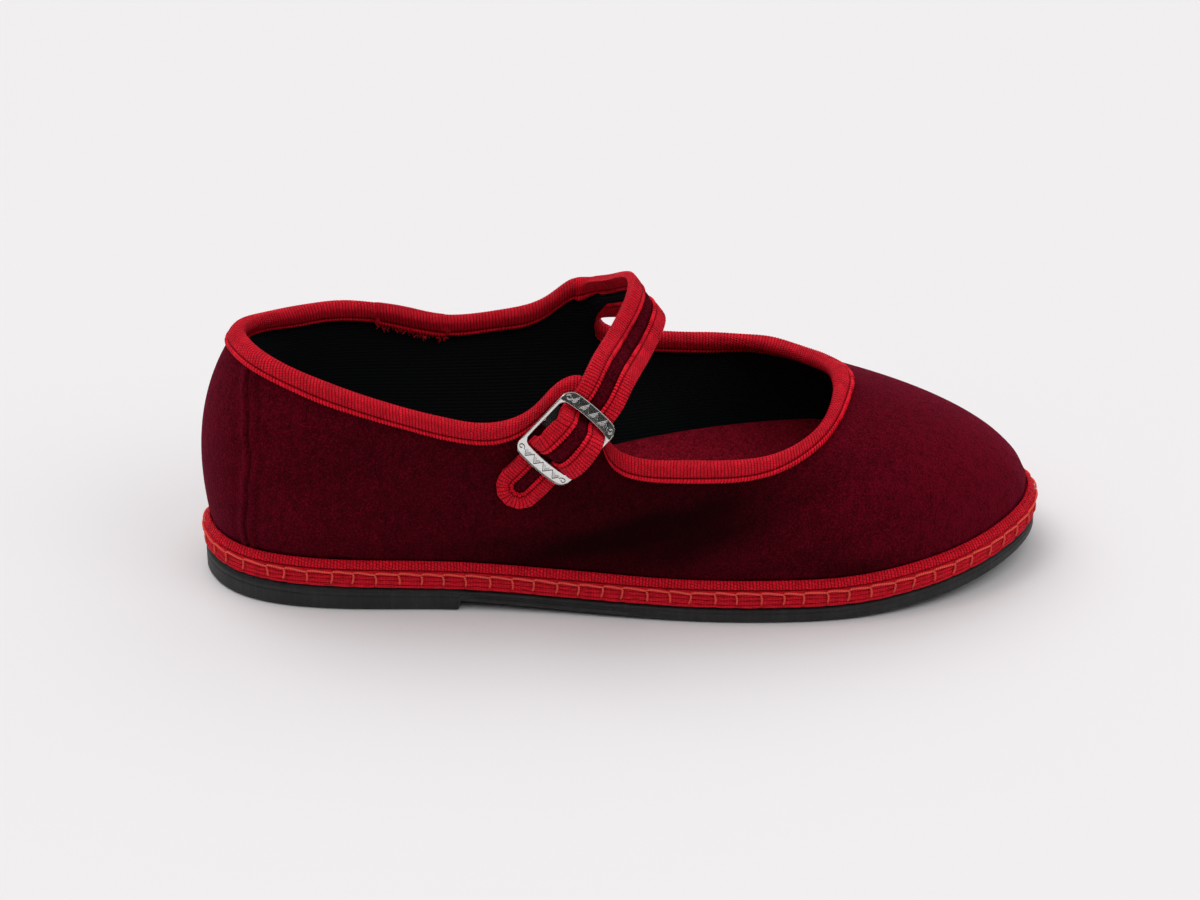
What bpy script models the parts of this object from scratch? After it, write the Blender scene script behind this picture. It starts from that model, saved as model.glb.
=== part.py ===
"""Mary jane flat, right foot: a velvet slip-on with a bound topline, a buckled instep strap, a stitched
textile midsole and a moulded rubber outsole with a low heel.

Metres, +Z up. +X runs from heel to toe, +Y to the medial side, and -Y to the lateral side with the buckle.
The origin is on the floor, under the middle of the shoe's plan. Inside this file shapes are worked out in
the last's own coordinates, with X = 0 at the back of the heel, and are moved to the origin as they are made.
"""

from collections import namedtuple

import bmesh
import bpy
import numpy as np

# Driving sizes
SHOE_LENGTH = 0.2545
BALL_WIDTH = 0.0865
WAIST_WIDTH = 0.0658
HEEL_WIDTH = 0.0600
COLLAR = 0.0790
THROAT = 0.0620
CLEARANCE = 0.0003

# Outsole
HEEL_END = 0.0770
HEEL_BREAST = 0.0008
SHEET_THICKNESS = 0.0053
WAIST_SHEET_THICKNESS = 0.0043
SOLE_INSET = 0.0002
SOLE_EDGE_RADIUS = 0.0012

# Midsole, its ribbon and the insole
MIDSOLE_THICKNESS = 0.0060
MIDSOLE_ROLLS = 3
ROLL_DEPTH = 0.0004
RIBBON_RISE = 0.0026
RIBBON_THICKNESS = 0.0008
INSOLE_THICKNESS = 0.0028

# Upper and its binding
WALL = 0.0020
UPPER_INSET = 0.0027
BINDING_WIDTH = 0.0050
BINDING_LIP = 0.0015
BINDING_THICKNESS = 0.0009
BINDING_GROOVE = 0.0003

# Strap
STRAP_WIDTH = 0.0147
STRAP_PANEL_WIDTH = 0.0036
STRAP_PANEL_THICKNESS = 0.0022
STRAP_CORE_THICKNESS = 0.0010
STRAP_RIBBON_THICKNESS = 0.0006
STRAP_TAIL = 0.0285
STRAP_ROOT_GAP = 0.0009

# Buckle
BUCKLE_LENGTH = 0.0245
BUCKLE_WIDTH = 0.0195
BUCKLE_END_BAR = 0.0041
BUCKLE_SIDE_BAR = 0.0011
BUCKLE_THICKNESS = 0.0014
BUCKLE_CORNER = 0.0032
BUCKLE_INNER_CORNER = 0.0018
BUCKLE_BOW = 0.0008
BUCKLE_ALONG = 0.432
BUCKLE_UP = 0.775
BUCKLE_HEADING = (-0.68, -0.72)
CENTRE_BAR_RADIUS = 0.00065
ELASTIC_THICKNESS = 0.0006

# How finely the shapes are divided
RIB_SPACING = 0.0066
STATION_SPACING = 0.0085
STRAP_SPACING = 0.0034

# The outer edge of the midsole from above, once round from the heel by the lateral side.
# along: share of SHOE_LENGTH; across: share of the width beside it
OUTLINE = (
    (0.000, +0.000, HEEL_WIDTH),
    (0.031, -0.300, HEEL_WIDTH),
    (0.118, -0.470, HEEL_WIDTH),
    (0.267, -0.517, HEEL_WIDTH),
    (0.413, -0.526, WAIST_WIDTH),
    (0.550, -0.458, BALL_WIDTH),
    (0.676, -0.483, BALL_WIDTH),
    (0.786, -0.458, BALL_WIDTH),
    (0.888, -0.354, BALL_WIDTH),
    (0.963, -0.185, BALL_WIDTH),
    (1.000, +0.023, BALL_WIDTH),
    (0.982, +0.243, BALL_WIDTH),
    (0.919, +0.405, BALL_WIDTH),
    (0.817, +0.509, BALL_WIDTH),
    (0.707, +0.517, BALL_WIDTH),
    (0.570, +0.457, BALL_WIDTH),
    (0.424, +0.474, WAIST_WIDTH),
    (0.267, +0.475, HEEL_WIDTH),
    (0.118, +0.475, HEEL_WIDTH),
    (0.031, +0.300, HEEL_WIDTH),
)

# Heights along the shoe. along: share of SHOE_LENGTH; sole: top of the outsole above the floor;
# cup: how far the insole's edge stands above its middle
Height = namedtuple("Height", "along sole cup")
HEIGHTS = (
    Height(0.000, 0.0088, 0.0008),
    Height(0.157, 0.0080, 0.0012),
    Height(0.303, 0.0074, 0.0024),
    Height(0.432, 0.0062, 0.0055),
    Height(0.589, SHEET_THICKNESS, 0.0092),
    Height(0.727, SHEET_THICKNESS, 0.0098),
    Height(0.864, 0.0075, 0.0028),
    Height(1.000, 0.0120, 0.0000),
)

# Ribs of the upper, once round from the heel by the lateral side. Each is a curve from its foot on the
# midsole to its end on the topline.
# foot_along, rim_along: shares of SHOE_LENGTH; rim_across: share of BALL_WIDTH; rim_up: share of rim_height
# foot_out, foot_up, rim_out, rim_down: the curve's handles, as shares of the rib's own rise
Rib = namedtuple(
    "Rib",
    "side foot_along rim_along rim_across rim_up rim_height foot_out foot_up rim_out rim_down",
)
RIBS = (
    Rib("heel", 0.000, 0.052, +0.000, 1.021, COLLAR, 0.06, 0.33, 0.22, 0.33),
    Rib("lateral", 0.014, 0.062, -0.092, 1.021, COLLAR, 0.06, 0.33, 0.21, 0.33),
    Rib("lateral", 0.059, 0.084, -0.185, 1.013, COLLAR, 0.07, 0.33, 0.16, 0.33),
    Rib("lateral", 0.126, 0.128, -0.254, 0.969, COLLAR, 0.07, 0.33, 0.12, 0.33),
    Rib("lateral", 0.196, 0.185, -0.296, 0.909, COLLAR, 0.06, 0.33, 0.09, 0.33),
    Rib("lateral", 0.259, 0.240, -0.317, 0.853, COLLAR, 0.05, 0.33, 0.07, 0.33),
    Rib("lateral", 0.314, 0.299, -0.331, 0.803, COLLAR, 0.05, 0.33, 0.07, 0.33),
    Rib("lateral", 0.365, 0.356, -0.340, 0.794, COLLAR, 0.05, 0.33, 0.08, 0.33),
    Rib("lateral", 0.393, 0.390, -0.339, 0.844, COLLAR, 0.05, 0.33, 0.09, 0.33),
    Rib("lateral", 0.411, 0.410, -0.328, 0.904, COLLAR, 0.05, 0.33, 0.10, 0.33),
    Rib("lateral", 0.428, 0.431, -0.310, 0.956, COLLAR, 0.05, 0.33, 0.11, 0.33),
    Rib("lateral", 0.448, 0.453, -0.310, 0.962, COLLAR, 0.05, 0.33, 0.11, 0.33),
    Rib("lateral", 0.468, 0.470, -0.342, 0.846, COLLAR, 0.05, 0.33, 0.10, 0.33),
    Rib("lateral", 0.483, 0.482, -0.372, 0.925, THROAT, 0.06, 0.33, 0.09, 0.33),
    Rib("lateral", 0.519, 0.517, -0.388, 0.838, THROAT, 0.07, 0.33, 0.09, 0.33),
    Rib("lateral", 0.566, 0.563, -0.402, 0.833, THROAT, 0.08, 0.33, 0.10, 0.33),
    Rib("lateral", 0.617, 0.609, -0.407, 0.834, THROAT, 0.08, 0.33, 0.11, 0.32),
    Rib("lateral", 0.672, 0.656, -0.386, 0.834, THROAT, 0.07, 0.34, 0.17, 0.26),
    Rib("lateral", 0.735, 0.696, -0.340, 0.862, THROAT, 0.06, 0.35, 0.27, 0.20),
    Rib("lateral", 0.817, 0.731, -0.249, 0.915, THROAT, 0.05, 0.36, 0.40, 0.18),
    Rib("lateral", 0.912, 0.751, -0.110, 0.964, THROAT, 0.04, 0.42, 0.50, 0.22),
    Rib("toe", 1.000, 0.756, +0.017, 0.979, THROAT, 0.03, 0.45, 0.56, 0.25),
    Rib("medial", 0.931, 0.748, +0.139, 0.951, THROAT, 0.04, 0.44, 0.50, 0.23),
    Rib("medial", 0.841, 0.721, +0.280, 0.907, THROAT, 0.06, 0.40, 0.40, 0.20),
    Rib("medial", 0.762, 0.680, +0.375, 0.902, THROAT, 0.09, 0.36, 0.28, 0.20),
    Rib("medial", 0.688, 0.629, +0.412, 0.902, THROAT, 0.11, 0.34, 0.17, 0.26),
    Rib("medial", 0.625, 0.578, +0.414, 0.911, THROAT, 0.11, 0.33, 0.12, 0.32),
    Rib("medial", 0.578, 0.536, +0.407, 0.928, THROAT, 0.10, 0.33, 0.11, 0.33),
    Rib("medial", 0.538, 0.503, +0.395, 0.954, THROAT, 0.08, 0.33, 0.10, 0.33),
    Rib("medial", 0.509, 0.482, +0.386, 0.997, THROAT, 0.06, 0.33, 0.09, 0.33),
    Rib("medial", 0.489, 0.475, +0.382, 0.823, COLLAR, 0.06, 0.33, 0.09, 0.33),
    Rib("medial", 0.468, 0.463, +0.371, 0.905, COLLAR, 0.05, 0.33, 0.09, 0.33),
    Rib("medial", 0.442, 0.451, +0.361, 0.990, COLLAR, 0.05, 0.33, 0.09, 0.33),
    Rib("medial", 0.409, 0.414, +0.365, 0.913, COLLAR, 0.05, 0.33, 0.08, 0.33),
    Rib("medial", 0.361, 0.359, +0.356, 0.862, COLLAR, 0.05, 0.33, 0.07, 0.33),
    Rib("medial", 0.303, 0.299, +0.338, 0.854, COLLAR, 0.05, 0.33, 0.07, 0.33),
    Rib("medial", 0.236, 0.236, +0.319, 0.908, COLLAR, 0.05, 0.33, 0.07, 0.33),
    Rib("medial", 0.161, 0.161, +0.287, 0.954, COLLAR, 0.06, 0.33, 0.09, 0.33),
    Rib("medial", 0.102, 0.114, +0.231, 0.964, COLLAR, 0.07, 0.33, 0.14, 0.33),
    Rib("medial", 0.047, 0.080, +0.155, 0.988, COLLAR, 0.07, 0.33, 0.18, 0.33),
    Rib("medial", 0.012, 0.059, +0.075, 1.010, COLLAR, 0.06, 0.33, 0.21, 0.33),
)
# The strap's seam on the medial quarter runs over these ribs, from its front edge to its rear edge.
SEAM_FRONT_RIB = 30
SEAM_REAR_RIB = 32
SEAM_MARGIN = 0.0011

# The strap between its seam and its buckle: where its rear edge and its front edge pass.
# along: shares of SHOE_LENGTH; across: shares of BALL_WIDTH; up: shares of COLLAR
StrapRow = namedtuple("StrapRow", "rear_along rear_across rear_up front_along front_across front_up")
STRAP_ROWS = (
    StrapRow(0.468, +0.312, 1.031, 0.493, +0.329, 0.850),
    StrapRow(0.490, +0.237, 1.085, 0.516, +0.266, 0.901),
    StrapRow(0.511, +0.156, 1.133, 0.539, +0.168, 0.969),
    StrapRow(0.511, +0.064, 1.127, 0.549, +0.069, 0.990),
    StrapRow(0.495, -0.052, 1.093, 0.546, -0.019, 0.969),
    StrapRow(0.474, -0.198, 1.060, 0.527, -0.180, 0.946),
    StrapRow(0.455, -0.325, 1.028, 0.509, -0.318, 0.920),
)

# The strap at its buckle, where it bulges over the frame's front bar. along: distance past the buckle's
# middle; aside: shift towards the toe; lift: height of the strap's middle over the upper; roll: slope by
# which its front edge is raised; width: share of STRAP_WIDTH
SeatRow = namedtuple("SeatRow", "along aside lift roll width")
SEAT_ROWS = (
    SeatRow(-0.0125, 0.0000, 0.0034, 0.00, 0.98),
    SeatRow(-0.0098, 0.0000, 0.0032, 0.00, 0.97),
    SeatRow(-0.0070, 0.0001, 0.0042, 0.02, 0.97),
    SeatRow(-0.0049, 0.0009, 0.0086, 0.12, 1.06),
    SeatRow(+0.0000, 0.0014, 0.0092, 0.12, 1.13),
    SeatRow(+0.0045, 0.0011, 0.0087, 0.12, 1.11),
    SeatRow(+0.0065, 0.0003, 0.0058, 0.05, 0.98),
    SeatRow(+0.0079, 0.0002, 0.0023, 0.00, 0.93),
    SeatRow(+0.0105, 0.0006, 0.0020, 0.00, 0.93),
    SeatRow(+0.0150, 0.0011, 0.0020, 0.00, 0.93),
    SeatRow(+0.0200, 0.0012, 0.0020, 0.00, 0.93),
    SeatRow(STRAP_TAIL, 0.0012, 0.0020, 0.00, 0.93),
)
FRAME_LIFT = 0.0056
FRAME_TILT = 0.050
CENTRE_BAR_LIFT = 0.0048
# Where the elastic leaves the ear: distance past the buckle's middle, and height over the upper
ELASTIC_SEWN_END = ((-0.0052, 0.0022), (-0.0032, 0.0024))


def shares(along, across, up, width=BALL_WIDTH, height=COLLAR):
    return np.array([along * SHOE_LENGTH, across * width, up * height])


def unit(vector):
    return vector / np.linalg.norm(vector)


class Curve:
    """A cubic spline through rows of numbers, measured along itself from 0 to 1."""

    def __init__(self, rows, closed, spans=None):
        rows = np.array(rows, float)
        if closed:
            rows = np.vstack([rows, rows[:1]])
        if spans is None:
            spans = np.linalg.norm(np.diff(rows, axis=0), axis=1)
        self.knots = np.concatenate([[0], np.cumsum(spans)]) / np.sum(spans)
        self.rows = rows
        self.bend = self.second_derivatives(closed)

    def second_derivatives(self, closed):
        gaps = np.diff(self.knots)
        slopes = np.diff(self.rows, axis=0) / gaps[:, None]
        count = len(self.rows)
        matrix = np.eye(count)
        right = np.zeros_like(self.rows)
        for i in range(1, count - 1):
            matrix[i, i - 1 : i + 2] = gaps[i - 1], 2 * (gaps[i - 1] + gaps[i]), gaps[i]
            right[i] = 6 * (slopes[i] - slopes[i - 1])
        if closed:
            matrix[0] = 0
            matrix[0, [0, 1, -2]] = 2 * (gaps[0] + gaps[-1]), gaps[0], gaps[-1]
            right[0] = 6 * (slopes[0] - slopes[-1])
            matrix[-1, [0, -1]] = -1, 1
        return np.linalg.solve(matrix, right)

    def __call__(self, at):
        at = min(max(at, 0.0), 1.0)
        i = min(int(np.searchsorted(self.knots, at, side="right")) - 1, len(self.knots) - 2)
        gap = self.knots[i + 1] - self.knots[i]
        far = (at - self.knots[i]) / gap
        near = 1 - far
        bent = (near**3 - near) * self.bend[i] + (far**3 - far) * self.bend[i + 1]
        return near * self.rows[i] + far * self.rows[i + 1] + bent * gap**2 / 6


class Profile:
    """A height along the shoe that never overshoots its rows: level between two equal ones."""

    def __init__(self, along, values):
        self.along = np.array(along, float)
        self.values = np.array(values, float)
        gaps = np.diff(self.along)
        slopes = np.diff(self.values) / gaps
        self.slope = np.zeros(len(self.values))
        for i in range(1, len(slopes)):
            if slopes[i - 1] * slopes[i] > 0:
                self.slope[i] = 2 / (1 / slopes[i - 1] + 1 / slopes[i])
        self.slope[0] = slopes[0]
        self.slope[-1] = slopes[-1]

    def __call__(self, x):
        x = min(max(x, self.along[0]), self.along[-1])
        i = min(int(np.searchsorted(self.along, x, side="right")) - 1, len(self.along) - 2)
        gap = self.along[i + 1] - self.along[i]
        u = (x - self.along[i]) / gap
        near = (1 + 2 * u) * (1 - u) ** 2 * self.values[i] + u * (1 - u) ** 2 * gap * self.slope[i]
        far = u**2 * (3 - 2 * u) * self.values[i + 1] - u**2 * (1 - u) * gap * self.slope[i + 1]
        return near + far


class Outline:
    """The plan of the sole: points and outward normals round it, and the same from a distance along it."""

    SAMPLES = 1600

    def __init__(self):
        curve = Curve([(along * SHOE_LENGTH, across * width) for along, across, width in OUTLINE], True)
        self.around = np.linspace(0, 1, self.SAMPLES + 1)
        self.points = np.array([curve(u) for u in self.around])
        tangent = np.roll(self.points[:-1], -1, axis=0) - np.roll(self.points[:-1], 1, axis=0)
        tangent = np.vstack([tangent, tangent[:1]])
        tangent /= np.linalg.norm(tangent, axis=1)[:, None]
        self.normals = np.column_stack([tangent[:, 1], -tangent[:, 0]])
        self.toe = int(np.argmax(self.points[:, 0]))
        self.low = self.points.min(axis=0)
        self.high = self.points.max(axis=0)
        self.heel_x = max(self.points[0, 0], self.points[-1, 0])

    def at(self, u, inset=0.0):
        u = u % 1.0
        point = np.array([np.interp(u, self.around, self.points[:, k]) for k in (0, 1)])
        normal = unit(np.array([np.interp(u, self.around, self.normals[:, k]) for k in (0, 1)]))
        return point - inset * normal, normal

    def where(self, x, side):
        """The place round the outline, from 0 to 1, at a distance x from the heel on one side."""
        if side == "heel":
            return 0.0
        if side == "toe":
            return self.around[self.toe]
        if side == "lateral":
            half = slice(0, self.toe + 1)
            xs, us = self.points[half, 0], self.around[half]
        else:
            half = slice(self.toe, None)
            xs, us = self.points[half, 0][::-1], self.around[half][::-1]
        return float(np.interp(x, np.maximum.accumulate(xs), us))


outline = Outline()
centre = (outline.low + outline.high) / 2
sole_top = Profile([h.along * SHOE_LENGTH for h in HEIGHTS], [h.sole for h in HEIGHTS])
insole_cup = Profile([h.along * SHOE_LENGTH for h in HEIGHTS], [h.cup for h in HEIGHTS])
waist_start = HEEL_END + HEEL_BREAST
forefoot_start = HEIGHTS[4].along * SHOE_LENGTH
forefoot_end = HEIGHTS[5].along * SHOE_LENGTH
under_waist = Profile(
    [waist_start, (waist_start + forefoot_start) / 2, forefoot_start],
    [sole_top(waist_start) - WAIST_SHEET_THICKNESS, 0.0012, 0.0],
)


def sole_bottom(x):
    if x <= HEEL_END + HEEL_BREAST / 2:
        return 0.0
    if x < forefoot_start:
        return under_waist(x)
    return max(sole_top(x) - SHEET_THICKNESS, 0.0)


def material(name, colour, roughness, metallic=0.0):
    made = bpy.data.materials.new(name)
    made.use_nodes = True
    shader = made.node_tree.nodes["Principled BSDF"]
    shader.inputs["Base Color"].default_value = (*colour, 1.0)
    shader.inputs["Roughness"].default_value = roughness
    shader.inputs["Metallic"].default_value = metallic
    return made


def solid(name, points, faces, finish, smooth_angle=40.0):
    """An object made of these points, moved from the last's coordinates to the part's origin."""
    shifted = [(p[0] - centre[0], p[1] - centre[1], p[2]) for p in points]
    mesh = bpy.data.meshes.new(name)
    mesh.from_pydata(shifted, [], faces)
    shape = bmesh.new()
    shape.from_mesh(mesh)
    bmesh.ops.recalc_face_normals(shape, faces=shape.faces)
    shape.to_mesh(mesh)
    shape.free()
    mesh.shade_smooth()
    mesh.set_sharp_from_angle(angle=np.radians(smooth_angle))
    mesh.materials.append(finish)
    made = bpy.data.objects.new(name, mesh)
    bpy.context.scene.collection.objects.link(made)
    return made


def loft(sections, closed):
    """Points and faces of a tube through closed sections, joined end to start or capped at both ends."""
    count = len(sections[0])
    points = [p for section in sections for p in section]
    spans = len(sections) if closed else len(sections) - 1
    faces = []
    for i in range(spans):
        here = i * count
        there = (i + 1) % len(sections) * count
        for k in range(count):
            after = (k + 1) % count
            faces.append((here + k, here + after, there + after, there + k))
    if not closed:
        faces.append(tuple(range(count)))
        faces.append(tuple(range(len(points) - count, len(points))))
    return points, faces


def stations():
    """Distances from the heel where the sole is cut across, closer together at its two ends."""
    count = int(SHOE_LENGTH / STATION_SPACING)
    even = (1 - np.cos(np.pi * np.arange(1, count) / count)) / 2
    length = outline.high[0] - outline.low[0]
    xs = [x for x in outline.low[0] + length * even if abs(x - HEEL_END) > STATION_SPACING / 3]
    return sorted(xs + [HEEL_END, HEEL_END + HEEL_BREAST])


def slab(levels, heights, lean=None):
    """Points and faces of a layer of the sole. levels: (inset, how high) rings from its lower face, over its
    side, to its upper face; heights(x, how high) is the height of a point; lean(u, height over the midsole)
    is how much further in the layer has to stay there."""
    xs = stations()
    around = [outline.where(x, "lateral") for x in xs]
    around.append(outline.where(0, "toe"))
    around += [outline.where(x, "medial") for x in reversed(xs)]
    around.insert(0, 0.0)
    count = len(around)
    points = []
    for inset, high in levels:
        for u in around:
            (x, y), _ = outline.at(u, inset)
            if lean:
                rise = heights(x, high) - sole_top(x) - INSOLE_LIFT
                (x, y), _ = outline.at(u, inset + lean(u, rise))
            points.append((x, y, heights(x, high)))
    faces = []
    for level in range(len(levels) - 1):
        for k in range(count):
            after = (k + 1) % count
            here = level * count
            faces.append((here + k, here + after, here + count + after, here + count + k))
    for first in (0, (len(levels) - 1) * count):
        faces.append((first, first + 1, first + count - 1))
        for k in range(1, count // 2 - 1):
            faces.append((first + k, first + k + 1, first + count - k - 1, first + count - k))
        middle = count // 2
        faces.append((first + middle - 1, first + middle, first + middle + 1))
    return points, faces


def outsole(finish):
    rounding = SOLE_EDGE_RADIUS
    top_inset = SOLE_INSET + CLEARANCE
    levels = (
        (SOLE_INSET + rounding, 0.0),
        (SOLE_INSET + rounding * 0.3, rounding * 0.3),
        (SOLE_INSET, rounding),
        (SOLE_INSET, 1.0),
        (top_inset, 2.0),
    )

    def height(x, high):
        if high == 2.0:
            return sole_top(x)
        if high == 1.0:
            return sole_top(x) - CLEARANCE
        return sole_bottom(x) + high

    return solid("outsole", *slab(levels, height), finish)


def midsole(finish):
    rolls = []
    roll = MIDSOLE_THICKNESS / MIDSOLE_ROLLS
    for i in range(MIDSOLE_ROLLS):
        rolls.append((0.0, (i + 0.5) * roll))
        if i < MIDSOLE_ROLLS - 1:
            rolls.append((ROLL_DEPTH, (i + 1) * roll))
    levels = [(2 * ROLL_DEPTH, CLEARANCE)] + rolls + [(2 * ROLL_DEPTH, MIDSOLE_THICKNESS)]
    return solid("midsole", *slab(levels, lambda x, high: sole_top(x) + high), finish)


INSOLE_LIFT = MIDSOLE_THICKNESS + CLEARANCE


def insole(finish):
    inner = UPPER_INSET + WALL + 4 * CLEARANCE
    levels = (
        (inner, 0.0),
        (inner, 0.9),
        (inner + 0.0012, 2.0),
        (inner + 0.0060, 1.6),
        (inner + 0.0130, 1.1),
    )

    def height(x, high):
        low = sole_top(x) + INSOLE_LIFT
        if high < 1.0:
            return low + high * (INSOLE_THICKNESS + insole_cup(x))
        return low + INSOLE_THICKNESS + (high - 1.0) * insole_cup(x)

    return solid("insole", *slab(levels, height, upper_form.lean), finish)


class Upper:
    """The outer surface of the upper: around it from 0 to 1, and up each rib from 0 at its foot to 1 at its rim."""

    STEPS = 28

    def __init__(self):
        rows = []
        for rib in RIBS:
            around = outline.where(rib.foot_along * SHOE_LENGTH, rib.side)
            rim = shares(rib.rim_along, rib.rim_across, rib.rim_up, height=rib.rim_height)
            rows.append((around, *rim, rib.foot_out, rib.foot_up, rib.rim_out, rib.rim_down))
        rows = np.array(rows)
        after = np.roll(rows, -1, axis=0)
        after[-1, 0] += 1.0
        feet = np.array([outline.at(u, UPPER_INSET)[0] for u in rows[:, 0]])
        foot_gap = np.linalg.norm(np.roll(feet, -1, axis=0) - feet, axis=1)
        rim_gap = np.linalg.norm(after[:, 1:4] - rows[:, 1:4], axis=1)
        spans = (foot_gap + rim_gap) / 2
        # The place round the outline is kept as its difference from a steady walk, so that the curve closes.
        knots = np.concatenate([[0], np.cumsum(spans)]) / spans.sum()
        rows[:, 0] -= knots[:-1]
        self.curve = Curve(rows, True, spans)
        self.knots = knots
        self.length = spans.sum()
        self.binding_start = knots[SEAM_REAR_RIB] + SEAM_MARGIN / self.length
        self.binding_end = knots[SEAM_FRONT_RIB] - SEAM_MARGIN / self.length
        self.foot_knots = np.linspace(0, 1, 401)
        self.foot_places = np.array([self.curve(s)[0] + s for s in self.foot_knots])

    def rib(self, s):
        row = self.curve(s % 1.0)
        (x, y), normal = outline.at(row[0] + s % 1.0, UPPER_INSET)
        foot = np.array([x, y, sole_top(x) + INSOLE_LIFT])
        rim = row[1:4]
        rise = rim[2] - foot[2]
        out = np.array([normal[0], normal[1], 0.0]) * rise
        up = np.array([0.0, 0.0, rise])
        handles = (foot, foot + row[4] * out + row[5] * up, rim + row[6] * out - row[7] * up, rim)
        t = np.linspace(0, 1, self.STEPS + 1)[:, None]
        bezier = (1 - t) ** 3 * handles[0] + 3 * t * (1 - t) ** 2 * handles[1]
        bezier = bezier + 3 * t**2 * (1 - t) * handles[2] + t**3 * handles[3]
        travelled = np.concatenate([[0], np.cumsum(np.linalg.norm(np.diff(bezier, axis=0), axis=1))])
        return bezier, travelled

    @staticmethod
    def along(bezier, travelled, distance):
        """A point this far up a rib from its foot. Past either end it goes straight on."""
        total = travelled[-1]
        inside = min(max(distance, 0.0), total)
        point = np.array([np.interp(inside, travelled, bezier[:, k]) for k in range(3)])
        if distance > total:
            point = point + (distance - total) * unit(bezier[-1] - bezier[-2])
        if distance < 0:
            point = point + distance * unit(bezier[1] - bezier[0])
        return point

    def frame(self, s):
        """For one rib: a function that gives the point at (distance down from the rim, offset outwards), and
        the rib's length."""
        step = 0.0015
        ribs = [self.rib(s - step), self.rib(s), self.rib(s + step)]
        total = ribs[1][1][-1]

        def point(down, offset):
            share = (total - down) / total
            here = self.along(*ribs[1], share * total)
            ahead = self.along(*ribs[2], share * ribs[2][1][-1])
            behind = self.along(*ribs[0], share * ribs[0][1][-1])
            above = self.along(*ribs[1], share * total + 0.0008)
            below = self.along(*ribs[1], share * total - 0.0008)
            normal = unit(np.cross(ahead - behind, above - below))
            return here + offset * normal

        return point, total

    def stations(self):
        places = []
        for i in range(len(self.knots) - 1):
            span = (self.knots[i + 1] - self.knots[i]) * self.length
            count = max(1, int(np.ceil(span / RIB_SPACING)))
            places += [self.knots[i] + (self.knots[i + 1] - self.knots[i]) * k / count for k in range(count)]
        return sorted(places + [self.binding_start, self.binding_end])

    def lean(self, u, rise):
        """How much further in than its foot the wall is, this high over its foot and beside this place."""
        s = float(np.interp(u % 1.0, self.foot_places, self.foot_knots))
        bezier, _ = self.rib(s)
        (x, y), normal = outline.at(u, UPPER_INSET)
        wall = np.array([np.interp(bezier[0, 2] + rise, bezier[:, 2], bezier[:, k]) for k in (0, 1)])
        return max(0.0, float(np.dot(np.array([x, y]) - wall, normal)) * 1.25)

    def lateral_wall(self, x, z):
        """The point of the outer surface at this distance from the heel and this height, on the lateral side."""
        xs, ys = [], []
        for s in np.linspace(self.knots[4], self.knots[16], 60):
            bezier, _ = self.rib(s)
            xs.append(np.interp(z, bezier[:, 2], bezier[:, 0]))
            ys.append(np.interp(z, bezier[:, 2], bezier[:, 1]))
        return np.array([x, np.interp(x, np.maximum.accumulate(xs), ys), z])


upper_form = Upper()
upper_stations = upper_form.stations()


def upper(finish):
    sections = []
    for s in upper_stations:
        point, total = upper_form.frame(s)
        near_rim = [0.0, BINDING_WIDTH / 2, BINDING_WIDTH]
        rest = total - BINDING_WIDTH
        downs = near_rim + [BINDING_WIDTH + rest * share for share in (0.2, 0.42, 0.64, 0.84, 1.0)]
        inner = near_rim + [BINDING_WIDTH + rest * share for share in (0.3, 0.6, 0.84, 1.0)]
        sections.append([point(d, 0.0) for d in reversed(downs)] + [point(d, -WALL) for d in inner])
        # The foot is cut level, to stand on the midsole.
        for k in (0, -1):
            x, y, _ = sections[-1][k]
            sections[-1][k] = np.array([x, y, sole_top(x) + INSOLE_LIFT])
    return solid("upper", *loft(sections, True), finish, 60.0)


def topline_binding(finish):
    """Ribbon folded over the rim. It starts and ends at the strap's seam."""
    thick = BINDING_THICKNESS
    outside = CLEARANCE
    inside = -WALL - CLEARANCE
    lip = BINDING_LIP
    profile = (
        (BINDING_WIDTH, outside),
        (BINDING_WIDTH, outside + thick * 0.7),
        (BINDING_WIDTH - lip * 0.5, outside + thick + BINDING_GROOVE),
        (BINDING_WIDTH - lip, outside + thick - BINDING_GROOVE),
        (BINDING_WIDTH * 0.5, outside + thick + BINDING_GROOVE),
        (0.0, outside + thick),
        (-CLEARANCE - thick, (outside + inside) / 2 + WALL * 0.35),
        (-CLEARANCE - thick, (outside + inside) / 2 - WALL * 0.35),
        (0.0, inside - thick),
        (BINDING_WIDTH, inside - thick),
        (BINDING_WIDTH, inside),
        (-CLEARANCE, inside),
        (-CLEARANCE, outside),
    )
    after = [s for s in upper_stations if s >= upper_form.binding_start]
    before = [s for s in upper_stations if s <= upper_form.binding_end]
    sections = []
    for s in after + before:
        point, _ = upper_form.frame(s)
        sections.append([point(down, offset) for down, offset in profile])
    return solid("topline_binding", *loft(sections, False), finish)


def midsole_ribbon(finish):
    """Ribbon that covers the seam between midsole and upper."""
    sections = []
    for s in upper_stations:
        point, total = upper_form.frame(s)
        bezier, _ = upper_form.rib(s)
        foot = bezier[0]
        low = point(total, CLEARANCE)
        high = point(total - RIBBON_RISE, CLEARANCE)
        out = point(total, 1.0) - point(total, 0.0)
        out[2] = 0.0
        out = unit(out)
        edge = UPPER_INSET - 2 * ROLL_DEPTH
        base = sole_top(foot[0]) + INSOLE_LIFT + CLEARANCE / 2
        low[2] = base
        outer_low = foot + out * edge
        outer_low[2] = base
        outer_mid = outer_low + np.array([0.0, 0.0, RIBBON_THICKNESS]) + out * CLEARANCE
        outer_high = high + out * RIBBON_THICKNESS
        sections.append([low, outer_low, outer_mid, outer_high, high])
    return solid("midsole_ribbon", *loft(sections, True), finish)


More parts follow.
